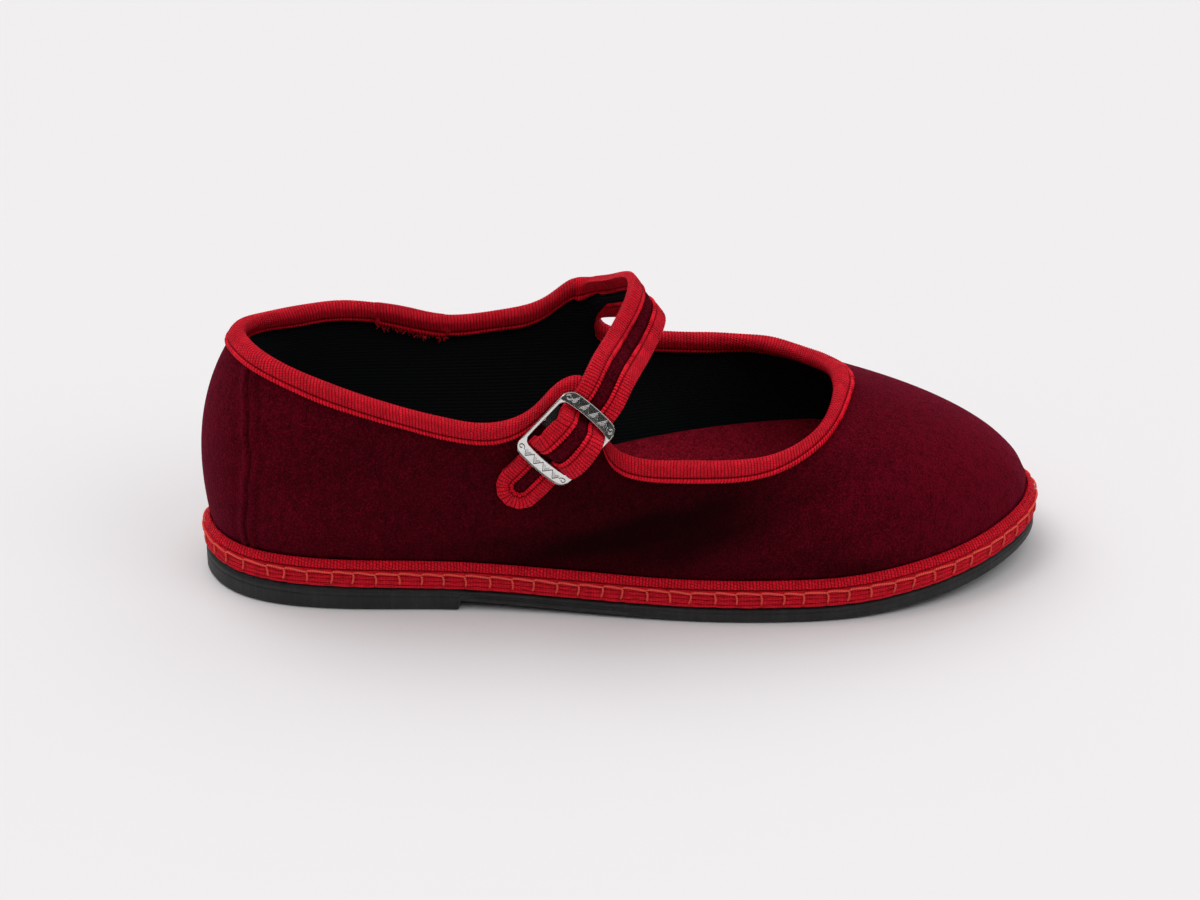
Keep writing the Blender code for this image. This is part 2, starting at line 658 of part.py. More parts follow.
class Strap:
    """The strap's own space: distance along it, across it towards the toe, and out from it."""

    def __init__(self):
        seat = self.seat()
        rows = []
        front, _ = upper_form.frame(upper_form.knots[SEAM_FRONT_RIB])
        rear, _ = upper_form.frame(upper_form.knots[SEAM_REAR_RIB])
        ends = rear(0.0, -WALL / 2), front(0.0, -WALL / 2)
        seam = ends[1] - ends[0]
        wall_out = rear(0.0, 0.0) - ends[0] + front(0.0, 0.0) - ends[1]
        self.root_along = unit(np.cross(seam, wall_out))
        middle = (ends[0] + ends[1]) / 2 + STRAP_ROOT_GAP * self.root_along
        rows.append((*middle, *unit(seam), np.linalg.norm(seam) / STRAP_WIDTH))
        for row in STRAP_ROWS:
            rear_edge = shares(row.rear_along, row.rear_across, row.rear_up)
            front_edge = shares(row.front_along, row.front_across, row.front_up)
            rows.append((*(rear_edge + front_edge) / 2, *unit(front_edge - rear_edge), 1.0))
        for row in SEAT_ROWS:
            spot = seat["origin"] + row.along * seat["down"] + row.aside * seat["across"]
            if row.along > BUCKLE_LENGTH / 4:
                spot = upper_form.lateral_wall(spot[0], spot[2])
            middle = spot + row.lift * seat["out"]
            rows.append((*middle, *unit(seat["across"] + row.roll * seat["out"]), row.width))
        rows = np.array(rows)
        spans = np.linalg.norm(np.diff(rows[:, :3], axis=0), axis=1)
        self.curve = Curve(rows, False, spans)
        self.length = spans.sum()
        self.knots = self.curve.knots
        self.seat_frame = seat

    @staticmethod
    def seat():
        """The buckle's place on the lateral wall: its middle, and directions down the strap, across and out."""
        x = BUCKLE_ALONG * SHOE_LENGTH
        z = BUCKLE_UP * COLLAR
        origin = upper_form.lateral_wall(x, z)
        heading = unit(np.array(BUCKLE_HEADING))
        reach = 0.009
        ahead = upper_form.lateral_wall(x + heading[0] * reach, z + heading[1] * reach)
        behind = upper_form.lateral_wall(x - heading[0] * reach, z - heading[1] * reach)
        front = upper_form.lateral_wall(x - heading[1] * reach, z + heading[0] * reach)
        rear = upper_form.lateral_wall(x + heading[1] * reach, z - heading[0] * reach)
        down = unit(ahead - behind)
        out = unit(np.cross(down, front - rear))
        return {"origin": origin, "down": down, "across": np.cross(out, down), "out": out}

    def frame(self, at):
        """Middle, directions (along, across, out) and width share at a place from 0 to 1."""
        row = self.curve(at)
        step = 0.004
        along = unit(self.curve(at + step)[:3] - self.curve(at - step)[:3])
        if at <= 0:
            along = self.root_along
        across = row[3:6] - np.dot(row[3:6], along) * along
        across = unit(across)
        return row[:3], along, across, np.cross(along, across), row[6]

    def point(self, distance, across, out):
        middle, _, side, normal, width = self.frame(distance / self.length)
        return middle + across * width * side + out * normal


strap_form = Strap()


def strap(finish):
    """Velvet over lining: a raised middle panel, with thin edges that the ribbon wraps."""
    tuck = STRAP_RIBBON_THICKNESS + CLEARANCE
    half = STRAP_WIDTH / 2
    tip = strap_form.length - half
    reach = half - tuck
    end = tip + reach
    count = int(tip / STRAP_SPACING)
    places = list(np.linspace(0.0, tip, count))
    places += [tip + reach * np.sin(angle) for angle in np.radians([7, 14, 18.5, 32, 48, 64, 78])]
    places.append(end)
    thin = STRAP_CORE_THICKNESS / 2
    sections = []
    for place in places:
        past = max(place - tip, 0.0)
        edge = max(np.sqrt(max(reach**2 - past**2, 0.0)), reach * 0.04)
        panel = STRAP_PANEL_WIDTH / 2
        panel = np.sqrt(max(panel**2 - past**2, 0.0))
        thick = STRAP_PANEL_THICKNESS / 2 if panel > STRAP_PANEL_WIDTH / 8 else thin * 1.05
        panel = max(panel, edge * 0.1)
        shoulder = min(panel + 0.0003, edge * 0.6)
        row = (
            (-edge, thin),
            (-shoulder, thin),
            (-panel, thick),
            (panel, thick),
            (shoulder, thin),
            (edge, thin),
        )
        section = [strap_form.point(place, across, out) for across, out in row]
        section += [strap_form.point(place, across, -out) for across, out in reversed(row)]
        sections.append(section)
    return solid("strap", *loft(sections, False), finish)


def strap_binding(finish):
    """One ribbon folded over the strap's rear edge, round its tip and back along its front edge."""
    half = STRAP_WIDTH / 2
    thick = STRAP_RIBBON_THICKNESS
    inner = STRAP_CORE_THICKNESS / 2 + CLEARANCE
    outer = inner + thick
    reach = half - STRAP_PANEL_WIDTH / 2 - CLEARANCE
    tip = strap_form.length - half
    profile = (
        (-reach, inner),
        (-reach, outer),
        (-thick * 0.8, outer),
        (0.0, outer * 0.5),
        (0.0, -outer * 0.5),
        (-thick * 0.8, -outer),
        (-reach, -outer),
        (-reach, -inner),
        (-thick, -inner),
        (-thick, inner),
    )
    count = int(tip / STRAP_SPACING)
    straight = list(np.linspace(0.0, tip, count))
    turns = np.radians(np.linspace(-90, 90, 11))[1:-1]
    sections = []
    for place in straight:
        sections.append([strap_form.point(place, -(half + m), n) for m, n in profile])
    for turn in turns:
        section = []
        for m, n in profile:
            radius = half + m
            section.append(strap_form.point(tip + radius * np.cos(turn), radius * np.sin(turn), n))
        sections.append(section)
    for place in reversed(straight):
        sections.append([strap_form.point(place, half + m, n) for m, n in profile])
    return solid("strap_binding", *loft(sections, False), finish)


def buckle_point(along, across, out):
    """A point in the buckle's space, whose frame is tilted so that its upper bar clears the ear."""
    seat = strap_form.seat_frame
    lift = FRAME_LIFT - FRAME_TILT * along + out
    return seat["origin"] + along * seat["down"] + across * seat["across"] + lift * seat["out"]


def rounded_frame(length, width, corner, bow, per_corner=5, per_side=4):
    """A rectangle with round corners, whose two ends bow outwards."""
    points = []
    centres = (
        (length / 2 - corner, width / 2 - corner, 0),
        (-length / 2 + corner, width / 2 - corner, 90),
        (-length / 2 + corner, -width / 2 + corner, 180),
        (length / 2 - corner, -width / 2 + corner, 270),
    )
    for along, across, start in centres:
        for angle in np.radians(np.linspace(start, start + 90, per_corner)):
            points.append((along + corner * np.cos(angle), across + corner * np.sin(angle)))
        after = np.radians(start + 90)
        side = (length if start in (0, 180) else width) / 2 - corner
        first = np.array(points[-1])
        for k in range(1, per_side):
            points.append(tuple(first + np.array([-np.sin(after), np.cos(after)]) * 2 * side * k / per_side))
    bowed = []
    for along, across in points:
        push = bow * max(0.0, 1 - (2 * across / width) ** 2)
        bowed.append((along + np.sign(along) * push * min(1.0, abs(along) / (length / 4)), across))
    return bowed


def buckle(finish):
    """Frame with wide end bars, and a thin middle bar under the strap."""
    outer = rounded_frame(BUCKLE_LENGTH, BUCKLE_WIDTH, BUCKLE_CORNER, BUCKLE_BOW)
    inner_length = BUCKLE_LENGTH - 2 * BUCKLE_END_BAR
    inner_width = BUCKLE_WIDTH - 2 * BUCKLE_SIDE_BAR
    inner = rounded_frame(inner_length, inner_width, BUCKLE_INNER_CORNER, BUCKLE_BOW)
    half = BUCKLE_THICKNESS / 2
    sections = []
    for (a, b), (c, d) in zip(outer, inner):
        near = 0.12
        sections.append(
            [
                buckle_point(a, b, -half),
                buckle_point(a, b, half * 0.4),
                buckle_point(a + (c - a) * near, b + (d - b) * near, half),
                buckle_point(c + (a - c) * near, d + (b - d) * near, half),
                buckle_point(c, d, half * 0.4),
                buckle_point(c, d, -half),
            ]
        )
    frame = solid("buckle", *loft(sections, True), finish, 30.0)
    bar = solid("buckle_centre_bar", *centre_bar(), finish)
    bar.hide_render = True
    bar.display_type = "WIRE"
    join = frame.modifiers.new("centre bar", "BOOLEAN")
    join.operation = "UNION"
    join.object = bar
    return frame


def centre_bar(sides=8):
    half = BUCKLE_WIDTH / 2 - BUCKLE_SIDE_BAR / 2
    drop = CENTRE_BAR_LIFT - FRAME_LIFT
    sections = []
    for across in (-half, half):
        ring = []
        for k in range(sides):
            angle = 2 * np.pi * (k + 0.5) / sides
            along = CENTRE_BAR_RADIUS * np.cos(angle)
            ring.append(buckle_point(along, across, drop + CENTRE_BAR_RADIUS * np.sin(angle)))
        sections.append(ring)
    return loft(sections, False)


def buckle_loop(finish):
    """Woven elastic, sewn to the ear under the strap, which folds round the buckle's middle bar."""
    half_width = BUCKLE_WIDTH / 2 - BUCKLE_SIDE_BAR - CLEARANCE * 2
    radius = CENTRE_BAR_RADIUS + CLEARANCE + ELASTIC_THICKNESS / 2
    path = list(ELASTIC_SEWN_END)
    for angle in np.radians([-100, -60, -15, 30, 75, 120, 165]):
        path.append((radius * np.cos(angle), CENTRE_BAR_LIFT + radius * np.sin(angle)))
    path = [(along, lift - FRAME_LIFT + FRAME_TILT * along) for along, lift in path]
    path = np.array(path)
    tangent = np.gradient(path, axis=0)
    tangent /= np.linalg.norm(tangent, axis=1)[:, None]
    side = np.column_stack([-tangent[:, 1], tangent[:, 0]]) * ELASTIC_THICKNESS / 2
    ring = [tuple(p) for p in path + side] + [tuple(p) for p in (path - side)[::-1]]
    sections = [[buckle_point(a, across, out) for a, out in ring] for across in (-half_width, half_width)]
    return solid("buckle_loop", *loft(sections, False), finish)


def build():
    velvet = material("burgundy velvet", (0.075, 0.004, 0.012), 0.85)
    insole_velvet = material("burgundy insole velvet", (0.085, 0.008, 0.014), 0.9)
    ribbon = material("red grosgrain ribbon", (0.42, 0.010, 0.022), 0.6)
    stitched = material("red stitched textile", (0.33, 0.012, 0.022), 0.75)
    rubber = material("black rubber", (0.010, 0.010, 0.010), 0.55)
    silver = material("engraved silver metal", (0.75, 0.75, 0.73), 0.25, 1.0)
    elastic = material("black elastic", (0.006, 0.008, 0.008), 0.8)
    outsole(rubber)
    midsole(stitched)
    insole(insole_velvet)
    upper(velvet)
    midsole_ribbon(ribbon)
    topline_binding(ribbon)
    strap(velvet)
    strap_binding(ribbon)
    buckle(silver)
    buckle_loop(elastic)


for old in list(bpy.data.objects):
    bpy.data.objects.remove(old)
build()
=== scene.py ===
import math
from collections import namedtuple

import bmesh
import bpy
import numpy as np
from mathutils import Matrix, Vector


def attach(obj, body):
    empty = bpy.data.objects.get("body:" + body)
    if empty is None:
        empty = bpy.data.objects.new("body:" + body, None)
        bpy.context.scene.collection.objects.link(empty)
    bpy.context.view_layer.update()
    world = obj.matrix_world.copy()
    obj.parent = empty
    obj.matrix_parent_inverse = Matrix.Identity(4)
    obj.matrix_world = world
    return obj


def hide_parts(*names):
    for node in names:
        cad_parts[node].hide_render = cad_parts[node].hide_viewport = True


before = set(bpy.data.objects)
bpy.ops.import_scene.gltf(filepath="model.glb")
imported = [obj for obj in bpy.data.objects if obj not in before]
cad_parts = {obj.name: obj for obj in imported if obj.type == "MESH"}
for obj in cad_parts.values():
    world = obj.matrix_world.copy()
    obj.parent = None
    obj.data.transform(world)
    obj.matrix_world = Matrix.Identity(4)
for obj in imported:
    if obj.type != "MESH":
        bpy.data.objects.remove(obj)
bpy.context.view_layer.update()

SHOE_LENGTH = 0.2545
BALL_WIDTH = 0.0865
WAIST_WIDTH = 0.0658
HEEL_WIDTH = 0.0600
COLLAR = 0.0790
THROAT = 0.0620
CLEARANCE = 0.0003
MM = 1000.0
UP = np.array([0.0, 0.0, 1.0])

# Outsole
HEEL_END = 0.0770
HEEL_BREAST = 0.0008
SHEET_THICKNESS = 0.0053
WAIST_SHEET_THICKNESS = 0.0043
SOLE_INSET = 0.0002
SOLE_EDGE_RADIUS = 0.0012
TREAD_PITCH = 0.0032
TREAD_DEPTH = 0.0007
SOLE_STATIONS = 330
WAIST_STEP = 0.0006
SIDE_GROOVE = 0.00022

# Midsole, its stitches and ribbon, and the insole
MIDSOLE_THICKNESS = 0.0060
STITCH_PITCH = 0.0067
THREAD_RADIUS = 0.00031
STITCH_HEAD = 0.895
STITCH_FOOT = 0.27
STITCH_SEED = 11
SLANT_SEED = 12
EDGE_STATIONS = 1150
TAPE_STATIONS = 1900
RIBBON_RISE = 0.0026
INSOLE_THICKNESS = 0.0028
INSOLE_LIFT = MIDSOLE_THICKNESS + CLEARANCE

# Upper and its binding
WALL = 0.0020
VELVET_THICKNESS = 0.0011
UPPER_INSET = 0.0027
HEEL_SEAM_ALONG = 0.062
SEAM_ZONE = 0.2
RIM_SAMPLES = 4001
VELVET_STATIONS = 760
LINING_STATIONS = 520
BINDING_WIDTH = 0.0050
BINDING_LIP = 0.0015
BINDING_THICKNESS = 0.0009
BINDING_GROOVE = 0.0003
GRAIN_PITCH = 0.00098

# Where the ends of the topline's ribbon overlap, from the back of the heel
JOIN_MIDDLE = 0.064
JOIN_LENGTH = 0.021
JOIN_EDGE_COLUMN = 38
JOIN_RISE = 0.00028
LOOSE_THREADS = 150
EDGE_THREADS = 110
JOIN_SEED = 51
LOOSE_THREAD_RADIUS = 0.00012

# Strap
STRAP_WIDTH = 0.0147
STRAP_PANEL_WIDTH = 0.0036
STRAP_PANEL_THICKNESS = 0.0022
STRAP_CORE_THICKNESS = 0.0010
STRAP_RIBBON_THICKNESS = 0.0006
STRAP_TAIL = 0.0285
STRAP_ROOT_GAP = 0.0009
STRAP_JOIN = 0.0075
STRAP_LIP = 0.00125
STRAP_GROOVE = 0.00018
STRAP_STEP = 0.00045
TIP_PLEATS = 11.0

# Buckle
BUCKLE_LENGTH = 0.0245
BUCKLE_WIDTH = 0.0195
BUCKLE_END_BAR = 0.0041
BUCKLE_SIDE_BAR = 0.0011
BUCKLE_THICKNESS = 0.0014
BUCKLE_CORNER = 0.0032
BUCKLE_INNER_CORNER = 0.0018
BUCKLE_BOW = 0.0008
BUCKLE_ALONG = 0.432
BUCKLE_UP = 0.775
BUCKLE_HEADING = (-0.68, -0.72)
CENTRE_BAR_RADIUS = 0.00065
ELASTIC_THICKNESS = 0.0006
ELASTIC_CORD = 0.0009
ENGRAVED_DEPTH = 0.00012
# Ornament of an end bar: how many teeth its whole length would hold; their foot and height, as shares of its
# depth; where they end and where the scrolls stand, as shares of its half length
TEETH = 5.5
TOOTH_FOOT = 0.20
TOOTH_HEIGHT = 0.58
TEETH_END = 0.70
SCROLL_MIDDLE = 0.82
END_BAR_SLOPE = 0.24

# Light and camera; pixels are those of the photograph
FLOOR_REACH = 6.0
DOME_STRENGTH = 1.02
SCREEN_DARKNESS = 0.80
KEY_STRENGTH = 1.0
SIDE_STRENGTH = 0.30
CAMERA_ELEVATION = 31.0
CAMERA_YAW = -1.9
CAMERA_TARGET = (0.127, 0.0, 0.031)
CAMERA_DISTANCE = 1.200
CAMERA_FOCAL_PIXELS = 3950.5
SENSOR_WIDTH = 36.0
IMAGE = (1200, 900)
TARGET_PIXEL = (620.44, 465.99)

# The outer edge of the midsole from above, once round from the heel by the lateral side.
# along: share of SHOE_LENGTH; across: share of the width beside it
OUTLINE = (
    (0.000, +0.000, HEEL_WIDTH),
    (0.031, -0.300, HEEL_WIDTH),
    (0.118, -0.470, HEEL_WIDTH),
    (0.267, -0.517, HEEL_WIDTH),
    (0.413, -0.526, WAIST_WIDTH),
    (0.550, -0.458, BALL_WIDTH),
    (0.676, -0.483, BALL_WIDTH),
    (0.786, -0.458, BALL_WIDTH),
    (0.888, -0.354, BALL_WIDTH),
    (0.963, -0.185, BALL_WIDTH),
    (1.000, +0.023, BALL_WIDTH),
    (0.982, +0.243, BALL_WIDTH),
    (0.919, +0.405, BALL_WIDTH),
    (0.817, +0.509, BALL_WIDTH),
    (0.707, +0.517, BALL_WIDTH),
    (0.570, +0.457, BALL_WIDTH),
    (0.424, +0.474, WAIST_WIDTH),
    (0.267, +0.475, HEEL_WIDTH),
    (0.118, +0.475, HEEL_WIDTH),
    (0.031, +0.300, HEEL_WIDTH),
)

# Heights along the shoe. along: share of SHOE_LENGTH; sole: top of the outsole above the floor;
# cup: how far the insole's edge stands above its middle
Height = namedtuple("Height", "along sole cup")
HEIGHTS = (
    Height(0.000, 0.0088, 0.0008),
    Height(0.157, 0.0080, 0.0012),
    Height(0.303, 0.0074, 0.0024),
    Height(0.432, 0.0062, 0.0055),
    Height(0.589, SHEET_THICKNESS, 0.0092),
    Height(0.727, SHEET_THICKNESS, 0.0098),
    Height(0.864, 0.0075, 0.0028),
    Height(1.000, 0.0120, 0.0000),
)

# Ribs of the upper, once round from the heel by the lateral side, in groups that share a side and a height.
# Each is a curve from its foot on the midsole to its end on the topline.
# foot_along, rim_along: shares of SHOE_LENGTH; rim_across: share of BALL_WIDTH; rim_up: share of rim_height
# foot_out, foot_up, rim_out, rim_down: the curve's handles, as shares of the rib's own rise
Rib = namedtuple(
    "Rib", "side rim_height foot_along rim_along rim_across rim_up foot_out foot_up rim_out rim_down"
)
RIB_GROUPS = (
    ("heel", COLLAR, (
        (0.000, 0.052, +0.000, 1.021, 0.06, 0.33, 0.22, 0.33),
    )),
    ("lateral", COLLAR, (
        (0.014, 0.062, -0.092, 1.021, 0.06, 0.33, 0.21, 0.33),
        (0.059, 0.084, -0.185, 1.013, 0.07, 0.33, 0.16, 0.33),
        (0.126, 0.128, -0.254, 0.969, 0.07, 0.33, 0.12, 0.33),
        (0.196, 0.185, -0.296, 0.909, 0.06, 0.33, 0.09, 0.33),
        (0.259, 0.240, -0.317, 0.853, 0.05, 0.33, 0.07, 0.33),
        (0.314, 0.299, -0.331, 0.803, 0.05, 0.33, 0.07, 0.33),
        (0.365, 0.356, -0.340, 0.794, 0.05, 0.33, 0.08, 0.33),
        (0.393, 0.390, -0.339, 0.844, 0.05, 0.33, 0.09, 0.33),
        (0.411, 0.410, -0.328, 0.904, 0.05, 0.33, 0.10, 0.33),
        (0.428, 0.431, -0.310, 0.956, 0.05, 0.33, 0.11, 0.33),
        (0.448, 0.453, -0.310, 0.962, 0.05, 0.33, 0.11, 0.33),
        (0.468, 0.470, -0.342, 0.846, 0.05, 0.33, 0.10, 0.33),
    )),
    ("lateral", THROAT, (
        (0.483, 0.482, -0.372, 0.925, 0.06, 0.33, 0.09, 0.33),
        (0.519, 0.517, -0.388, 0.838, 0.07, 0.33, 0.09, 0.33),
        (0.566, 0.563, -0.402, 0.833, 0.08, 0.33, 0.10, 0.33),
        (0.617, 0.609, -0.407, 0.834, 0.08, 0.33, 0.11, 0.32),
        (0.672, 0.656, -0.386, 0.834, 0.07, 0.34, 0.17, 0.26),
        (0.735, 0.696, -0.340, 0.862, 0.06, 0.35, 0.27, 0.20),
        (0.817, 0.731, -0.249, 0.915, 0.05, 0.36, 0.40, 0.18),
        (0.912, 0.751, -0.110, 0.964, 0.04, 0.42, 0.50, 0.22),
    )),
    ("toe", THROAT, (
        (1.000, 0.756, +0.017, 0.979, 0.03, 0.45, 0.56, 0.25),
    )),
    ("medial", THROAT, (
        (0.931, 0.748, +0.139, 0.951, 0.04, 0.44, 0.50, 0.23),
        (0.841, 0.721, +0.280, 0.907, 0.06, 0.40, 0.40, 0.20),
        (0.762, 0.680, +0.375, 0.902, 0.09, 0.36, 0.28, 0.20),
        (0.688, 0.629, +0.412, 0.902, 0.11, 0.34, 0.17, 0.26),
        (0.625, 0.578, +0.414, 0.911, 0.11, 0.33, 0.12, 0.32),
        (0.578, 0.536, +0.407, 0.928, 0.10, 0.33, 0.11, 0.33),
        (0.538, 0.503, +0.395, 0.954, 0.08, 0.33, 0.10, 0.33),
        (0.509, 0.482, +0.386, 0.997, 0.06, 0.33, 0.09, 0.33),
    )),
    ("medial", COLLAR, (
        (0.489, 0.475, +0.382, 0.823, 0.06, 0.33, 0.09, 0.33),
        (0.468, 0.463, +0.371, 0.905, 0.05, 0.33, 0.09, 0.33),
        (0.442, 0.451, +0.361, 0.990, 0.05, 0.33, 0.09, 0.33),
        (0.409, 0.414, +0.365, 0.913, 0.05, 0.33, 0.08, 0.33),
        (0.361, 0.359, +0.356, 0.862, 0.05, 0.33, 0.07, 0.33),
        (0.303, 0.299, +0.338, 0.854, 0.05, 0.33, 0.07, 0.33),
        (0.236, 0.236, +0.319, 0.908, 0.05, 0.33, 0.07, 0.33),
        (0.161, 0.161, +0.287, 0.954, 0.06, 0.33, 0.09, 0.33),
        (0.102, 0.114, +0.231, 0.964, 0.07, 0.33, 0.14, 0.33),
        (0.047, 0.080, +0.155, 0.988, 0.07, 0.33, 0.18, 0.33),
        (0.012, 0.059, +0.075, 1.010, 0.06, 0.33, 0.21, 0.33),
    )),
)
RIBS = [Rib(side, height, *row) for side, height, rows in RIB_GROUPS for row in rows]
# The strap's seam on the medial quarter runs over these ribs, from its front edge to its rear edge.
SEAM_FRONT_RIB = 30
SEAM_REAR_RIB = 32
SEAM_MARGIN = 0.0011

# The strap between its seam and its buckle: where its rear edge and its front edge pass.
# along: shares of SHOE_LENGTH; across: shares of BALL_WIDTH; up: shares of COLLAR
StrapRow = namedtuple("StrapRow", "rear_along rear_across rear_up front_along front_across front_up")
STRAP_ROWS = (
    StrapRow(0.468, +0.312, 1.031, 0.493, +0.329, 0.850),
    StrapRow(0.490, +0.237, 1.085, 0.516, +0.266, 0.901),
    StrapRow(0.511, +0.156, 1.133, 0.539, +0.168, 0.969),
    StrapRow(0.511, +0.064, 1.127, 0.549, +0.069, 0.990),
    StrapRow(0.495, -0.052, 1.093, 0.546, -0.019, 0.969),
    StrapRow(0.474, -0.198, 1.060, 0.527, -0.180, 0.946),
    StrapRow(0.455, -0.325, 1.028, 0.509, -0.318, 0.920),
)

# The strap at its buckle, where it bulges over the frame's front bar. along: distance past the buckle's
# middle; aside: shift towards the toe; lift: height of the strap's middle over the upper; roll: slope by
# which its front edge is raised; width: share of STRAP_WIDTH
SeatRow = namedtuple("SeatRow", "along aside lift roll width")
SEAT_ROWS = (
    SeatRow(-0.0125, 0.0000, 0.0034, 0.00, 0.98),
    SeatRow(-0.0098, 0.0000, 0.0032, 0.00, 0.97),
    SeatRow(-0.0070, 0.0001, 0.0042, 0.02, 0.97),
    SeatRow(-0.0049, 0.0009, 0.0086, 0.12, 1.06),
    SeatRow(+0.0000, 0.0014, 0.0092, 0.12, 1.13),
    SeatRow(+0.0045, 0.0011, 0.0087, 0.12, 1.11),
    SeatRow(+0.0065, 0.0003, 0.0058, 0.05, 0.98),
    SeatRow(+0.0079, 0.0002, 0.0023, 0.00, 0.93),
    SeatRow(+0.0105, 0.0006, 0.0020, 0.00, 0.93),
    SeatRow(+0.0150, 0.0011, 0.0020, 0.00, 0.93),
    SeatRow(+0.0200, 0.0012, 0.0020, 0.00, 0.93),
    SeatRow(STRAP_TAIL, 0.0012, 0.0020, 0.00, 0.93),
)
FRAME_LIFT = 0.0056
FRAME_TILT = 0.050
CENTRE_BAR_LIFT = 0.0048
# Where the elastic leaves the ear: distance past the buckle's middle, and height over the upper
ELASTIC_SEWN_END = ((-0.0052, 0.0022), (-0.0032, 0.0024))


def shares(along, across, up, width=BALL_WIDTH, height=COLLAR):
    return np.array([along * SHOE_LENGTH, across * width, up * height])


def unit(vectors):
    return vectors / np.linalg.norm(vectors, axis=-1, keepdims=True)


def travel(points):
    """How far along a row of points each lies."""
    return np.concatenate([[0], np.cumsum(np.linalg.norm(np.diff(points, axis=0), axis=1))])


class Curve:
    """A cubic spline through rows of numbers, measured along itself from 0 to 1."""

    def __init__(self, rows, closed, spans=None):
        rows = np.array(rows, float)
        if closed:
            rows = np.vstack([rows, rows[:1]])
        if spans is None:
            spans = np.linalg.norm(np.diff(rows, axis=0), axis=1)
        self.knots = np.concatenate([[0], np.cumsum(spans)]) / np.sum(spans)
        self.rows = rows
        gaps = np.diff(self.knots)
        slopes = np.diff(rows, axis=0) / gaps[:, None]
        count = len(rows)
        matrix = np.eye(count)
        right = np.zeros_like(rows)
        for i in range(1, count - 1):
            matrix[i, i - 1 : i + 2] = gaps[i - 1], 2 * (gaps[i - 1] + gaps[i]), gaps[i]
            right[i] = 6 * (slopes[i] - slopes[i - 1])
        if closed:
            matrix[0] = 0
            matrix[0, [0, 1, -2]] = 2 * (gaps[0] + gaps[-1]), gaps[0], gaps[-1]
            right[0] = 6 * (slopes[0] - slopes[-1])
            matrix[-1, [0, -1]] = -1, 1
        self.bend = np.linalg.solve(matrix, right)

    def __call__(self, at):
        at = np.clip(np.asarray(at, float), 0.0, 1.0)
        i = np.clip(np.searchsorted(self.knots, at, side="right") - 1, 0, len(self.knots) - 2)
        gap = (self.knots[i + 1] - self.knots[i])[..., None]
        far = (at - self.knots[i])[..., None] / gap
        near = 1 - far
        bent = (near**3 - near) * self.bend[i] + (far**3 - far) * self.bend[i + 1]
        return near * self.rows[i] + far * self.rows[i + 1] + bent * gap**2 / 6


class Profile:
    """A height along the shoe that never overshoots its rows."""

    def __init__(self, along, values):
        self.along = np.array(along, float)
        self.values = np.array(values, float)
        slopes = np.diff(self.values) / np.diff(self.along)
        self.slope = np.zeros(len(self.values))
        for i in range(1, len(slopes)):
            if slopes[i - 1] * slopes[i] > 0:
                self.slope[i] = 2 / (1 / slopes[i - 1] + 1 / slopes[i])
        self.slope[0] = slopes[0]
        self.slope[-1] = slopes[-1]

    def __call__(self, x):
        x = np.clip(x, self.along[0], self.along[-1])
        i = np.clip(np.searchsorted(self.along, x, side="right") - 1, 0, len(self.along) - 2)
        gap = self.along[i + 1] - self.along[i]
        u = (x - self.along[i]) / gap
        near = (1 + 2 * u) * (1 - u) ** 2 * self.values[i] + u * (1 - u) ** 2 * gap * self.slope[i]
        far = u**2 * (3 - 2 * u) * self.values[i + 1] - u**2 * (1 - u) * gap * self.slope[i + 1]
        return near + far


class Outline:
    """The plan of the sole: points and outward normals round it, and the same from a distance along it."""

    def __init__(self, samples=1600):
        curve = Curve([(along * SHOE_LENGTH, across * width) for along, across, width in OUTLINE], True)
        self.around = np.linspace(0, 1, samples + 1)
        self.points = curve(self.around)
        tangent = np.roll(self.points[:-1], -1, axis=0) - np.roll(self.points[:-1], 1, axis=0)
        tangent = unit(np.vstack([tangent, tangent[:1]]))
        self.normals = np.column_stack([tangent[:, 1], -tangent[:, 0]])
        self.toe = int(np.argmax(self.points[:, 0]))
        self.low = self.points.min(axis=0)
        self.high = self.points.max(axis=0)
        self.travelled = travel(self.points)
        self.length = self.travelled[-1]

    def at(self, u, inset=0.0):
        u = np.asarray(u, float) % 1.0
        point = np.stack([np.interp(u, self.around, self.points[:, k]) for k in (0, 1)], -1)
        normal = unit(np.stack([np.interp(u, self.around, self.normals[:, k]) for k in (0, 1)], -1))
        return point - np.asarray(inset)[..., None] * normal, normal

    def even(self, count):
        """Places round the outline, from 0 to 1, at equal distances."""
        return np.interp(np.arange(count) / count * self.length, self.travelled, self.around)

    def where(self, x, side):
        if side == "heel":
            return 0.0
        if side == "toe":
            return self.around[self.toe]
        half = slice(0, self.toe + 1) if side == "lateral" else slice(self.toe, None)
        step = 1 if side == "lateral" else -1
        xs, us = self.points[half, 0][::step], self.around[half][::step]
        return np.interp(x, np.maximum.accumulate(xs), us)


outline = Outline()
centre = (outline.low + outline.high) / 2
sole_top = Profile([h.along * SHOE_LENGTH for h in HEIGHTS], [h.sole for h in HEIGHTS])
insole_cup = Profile([h.along * SHOE_LENGTH for h in HEIGHTS], [h.cup for h in HEIGHTS])
waist_start = HEEL_END + HEEL_BREAST
forefoot_start = HEIGHTS[4].along * SHOE_LENGTH
under_waist = Profile(
    [waist_start, (waist_start + forefoot_start) / 2, forefoot_start],
    [sole_top(waist_start) - WAIST_SHEET_THICKNESS, 0.0012, 0.0],
)


def sole_bottom(x):
    x = np.asarray(x, float)
    low = np.maximum(sole_top(x) - SHEET_THICKNESS, 0.0)
    low = np.where(x < forefoot_start, under_waist(x), low)
    return np.where(x <= HEEL_END + HEEL_BREAST / 2, 0.0, low)


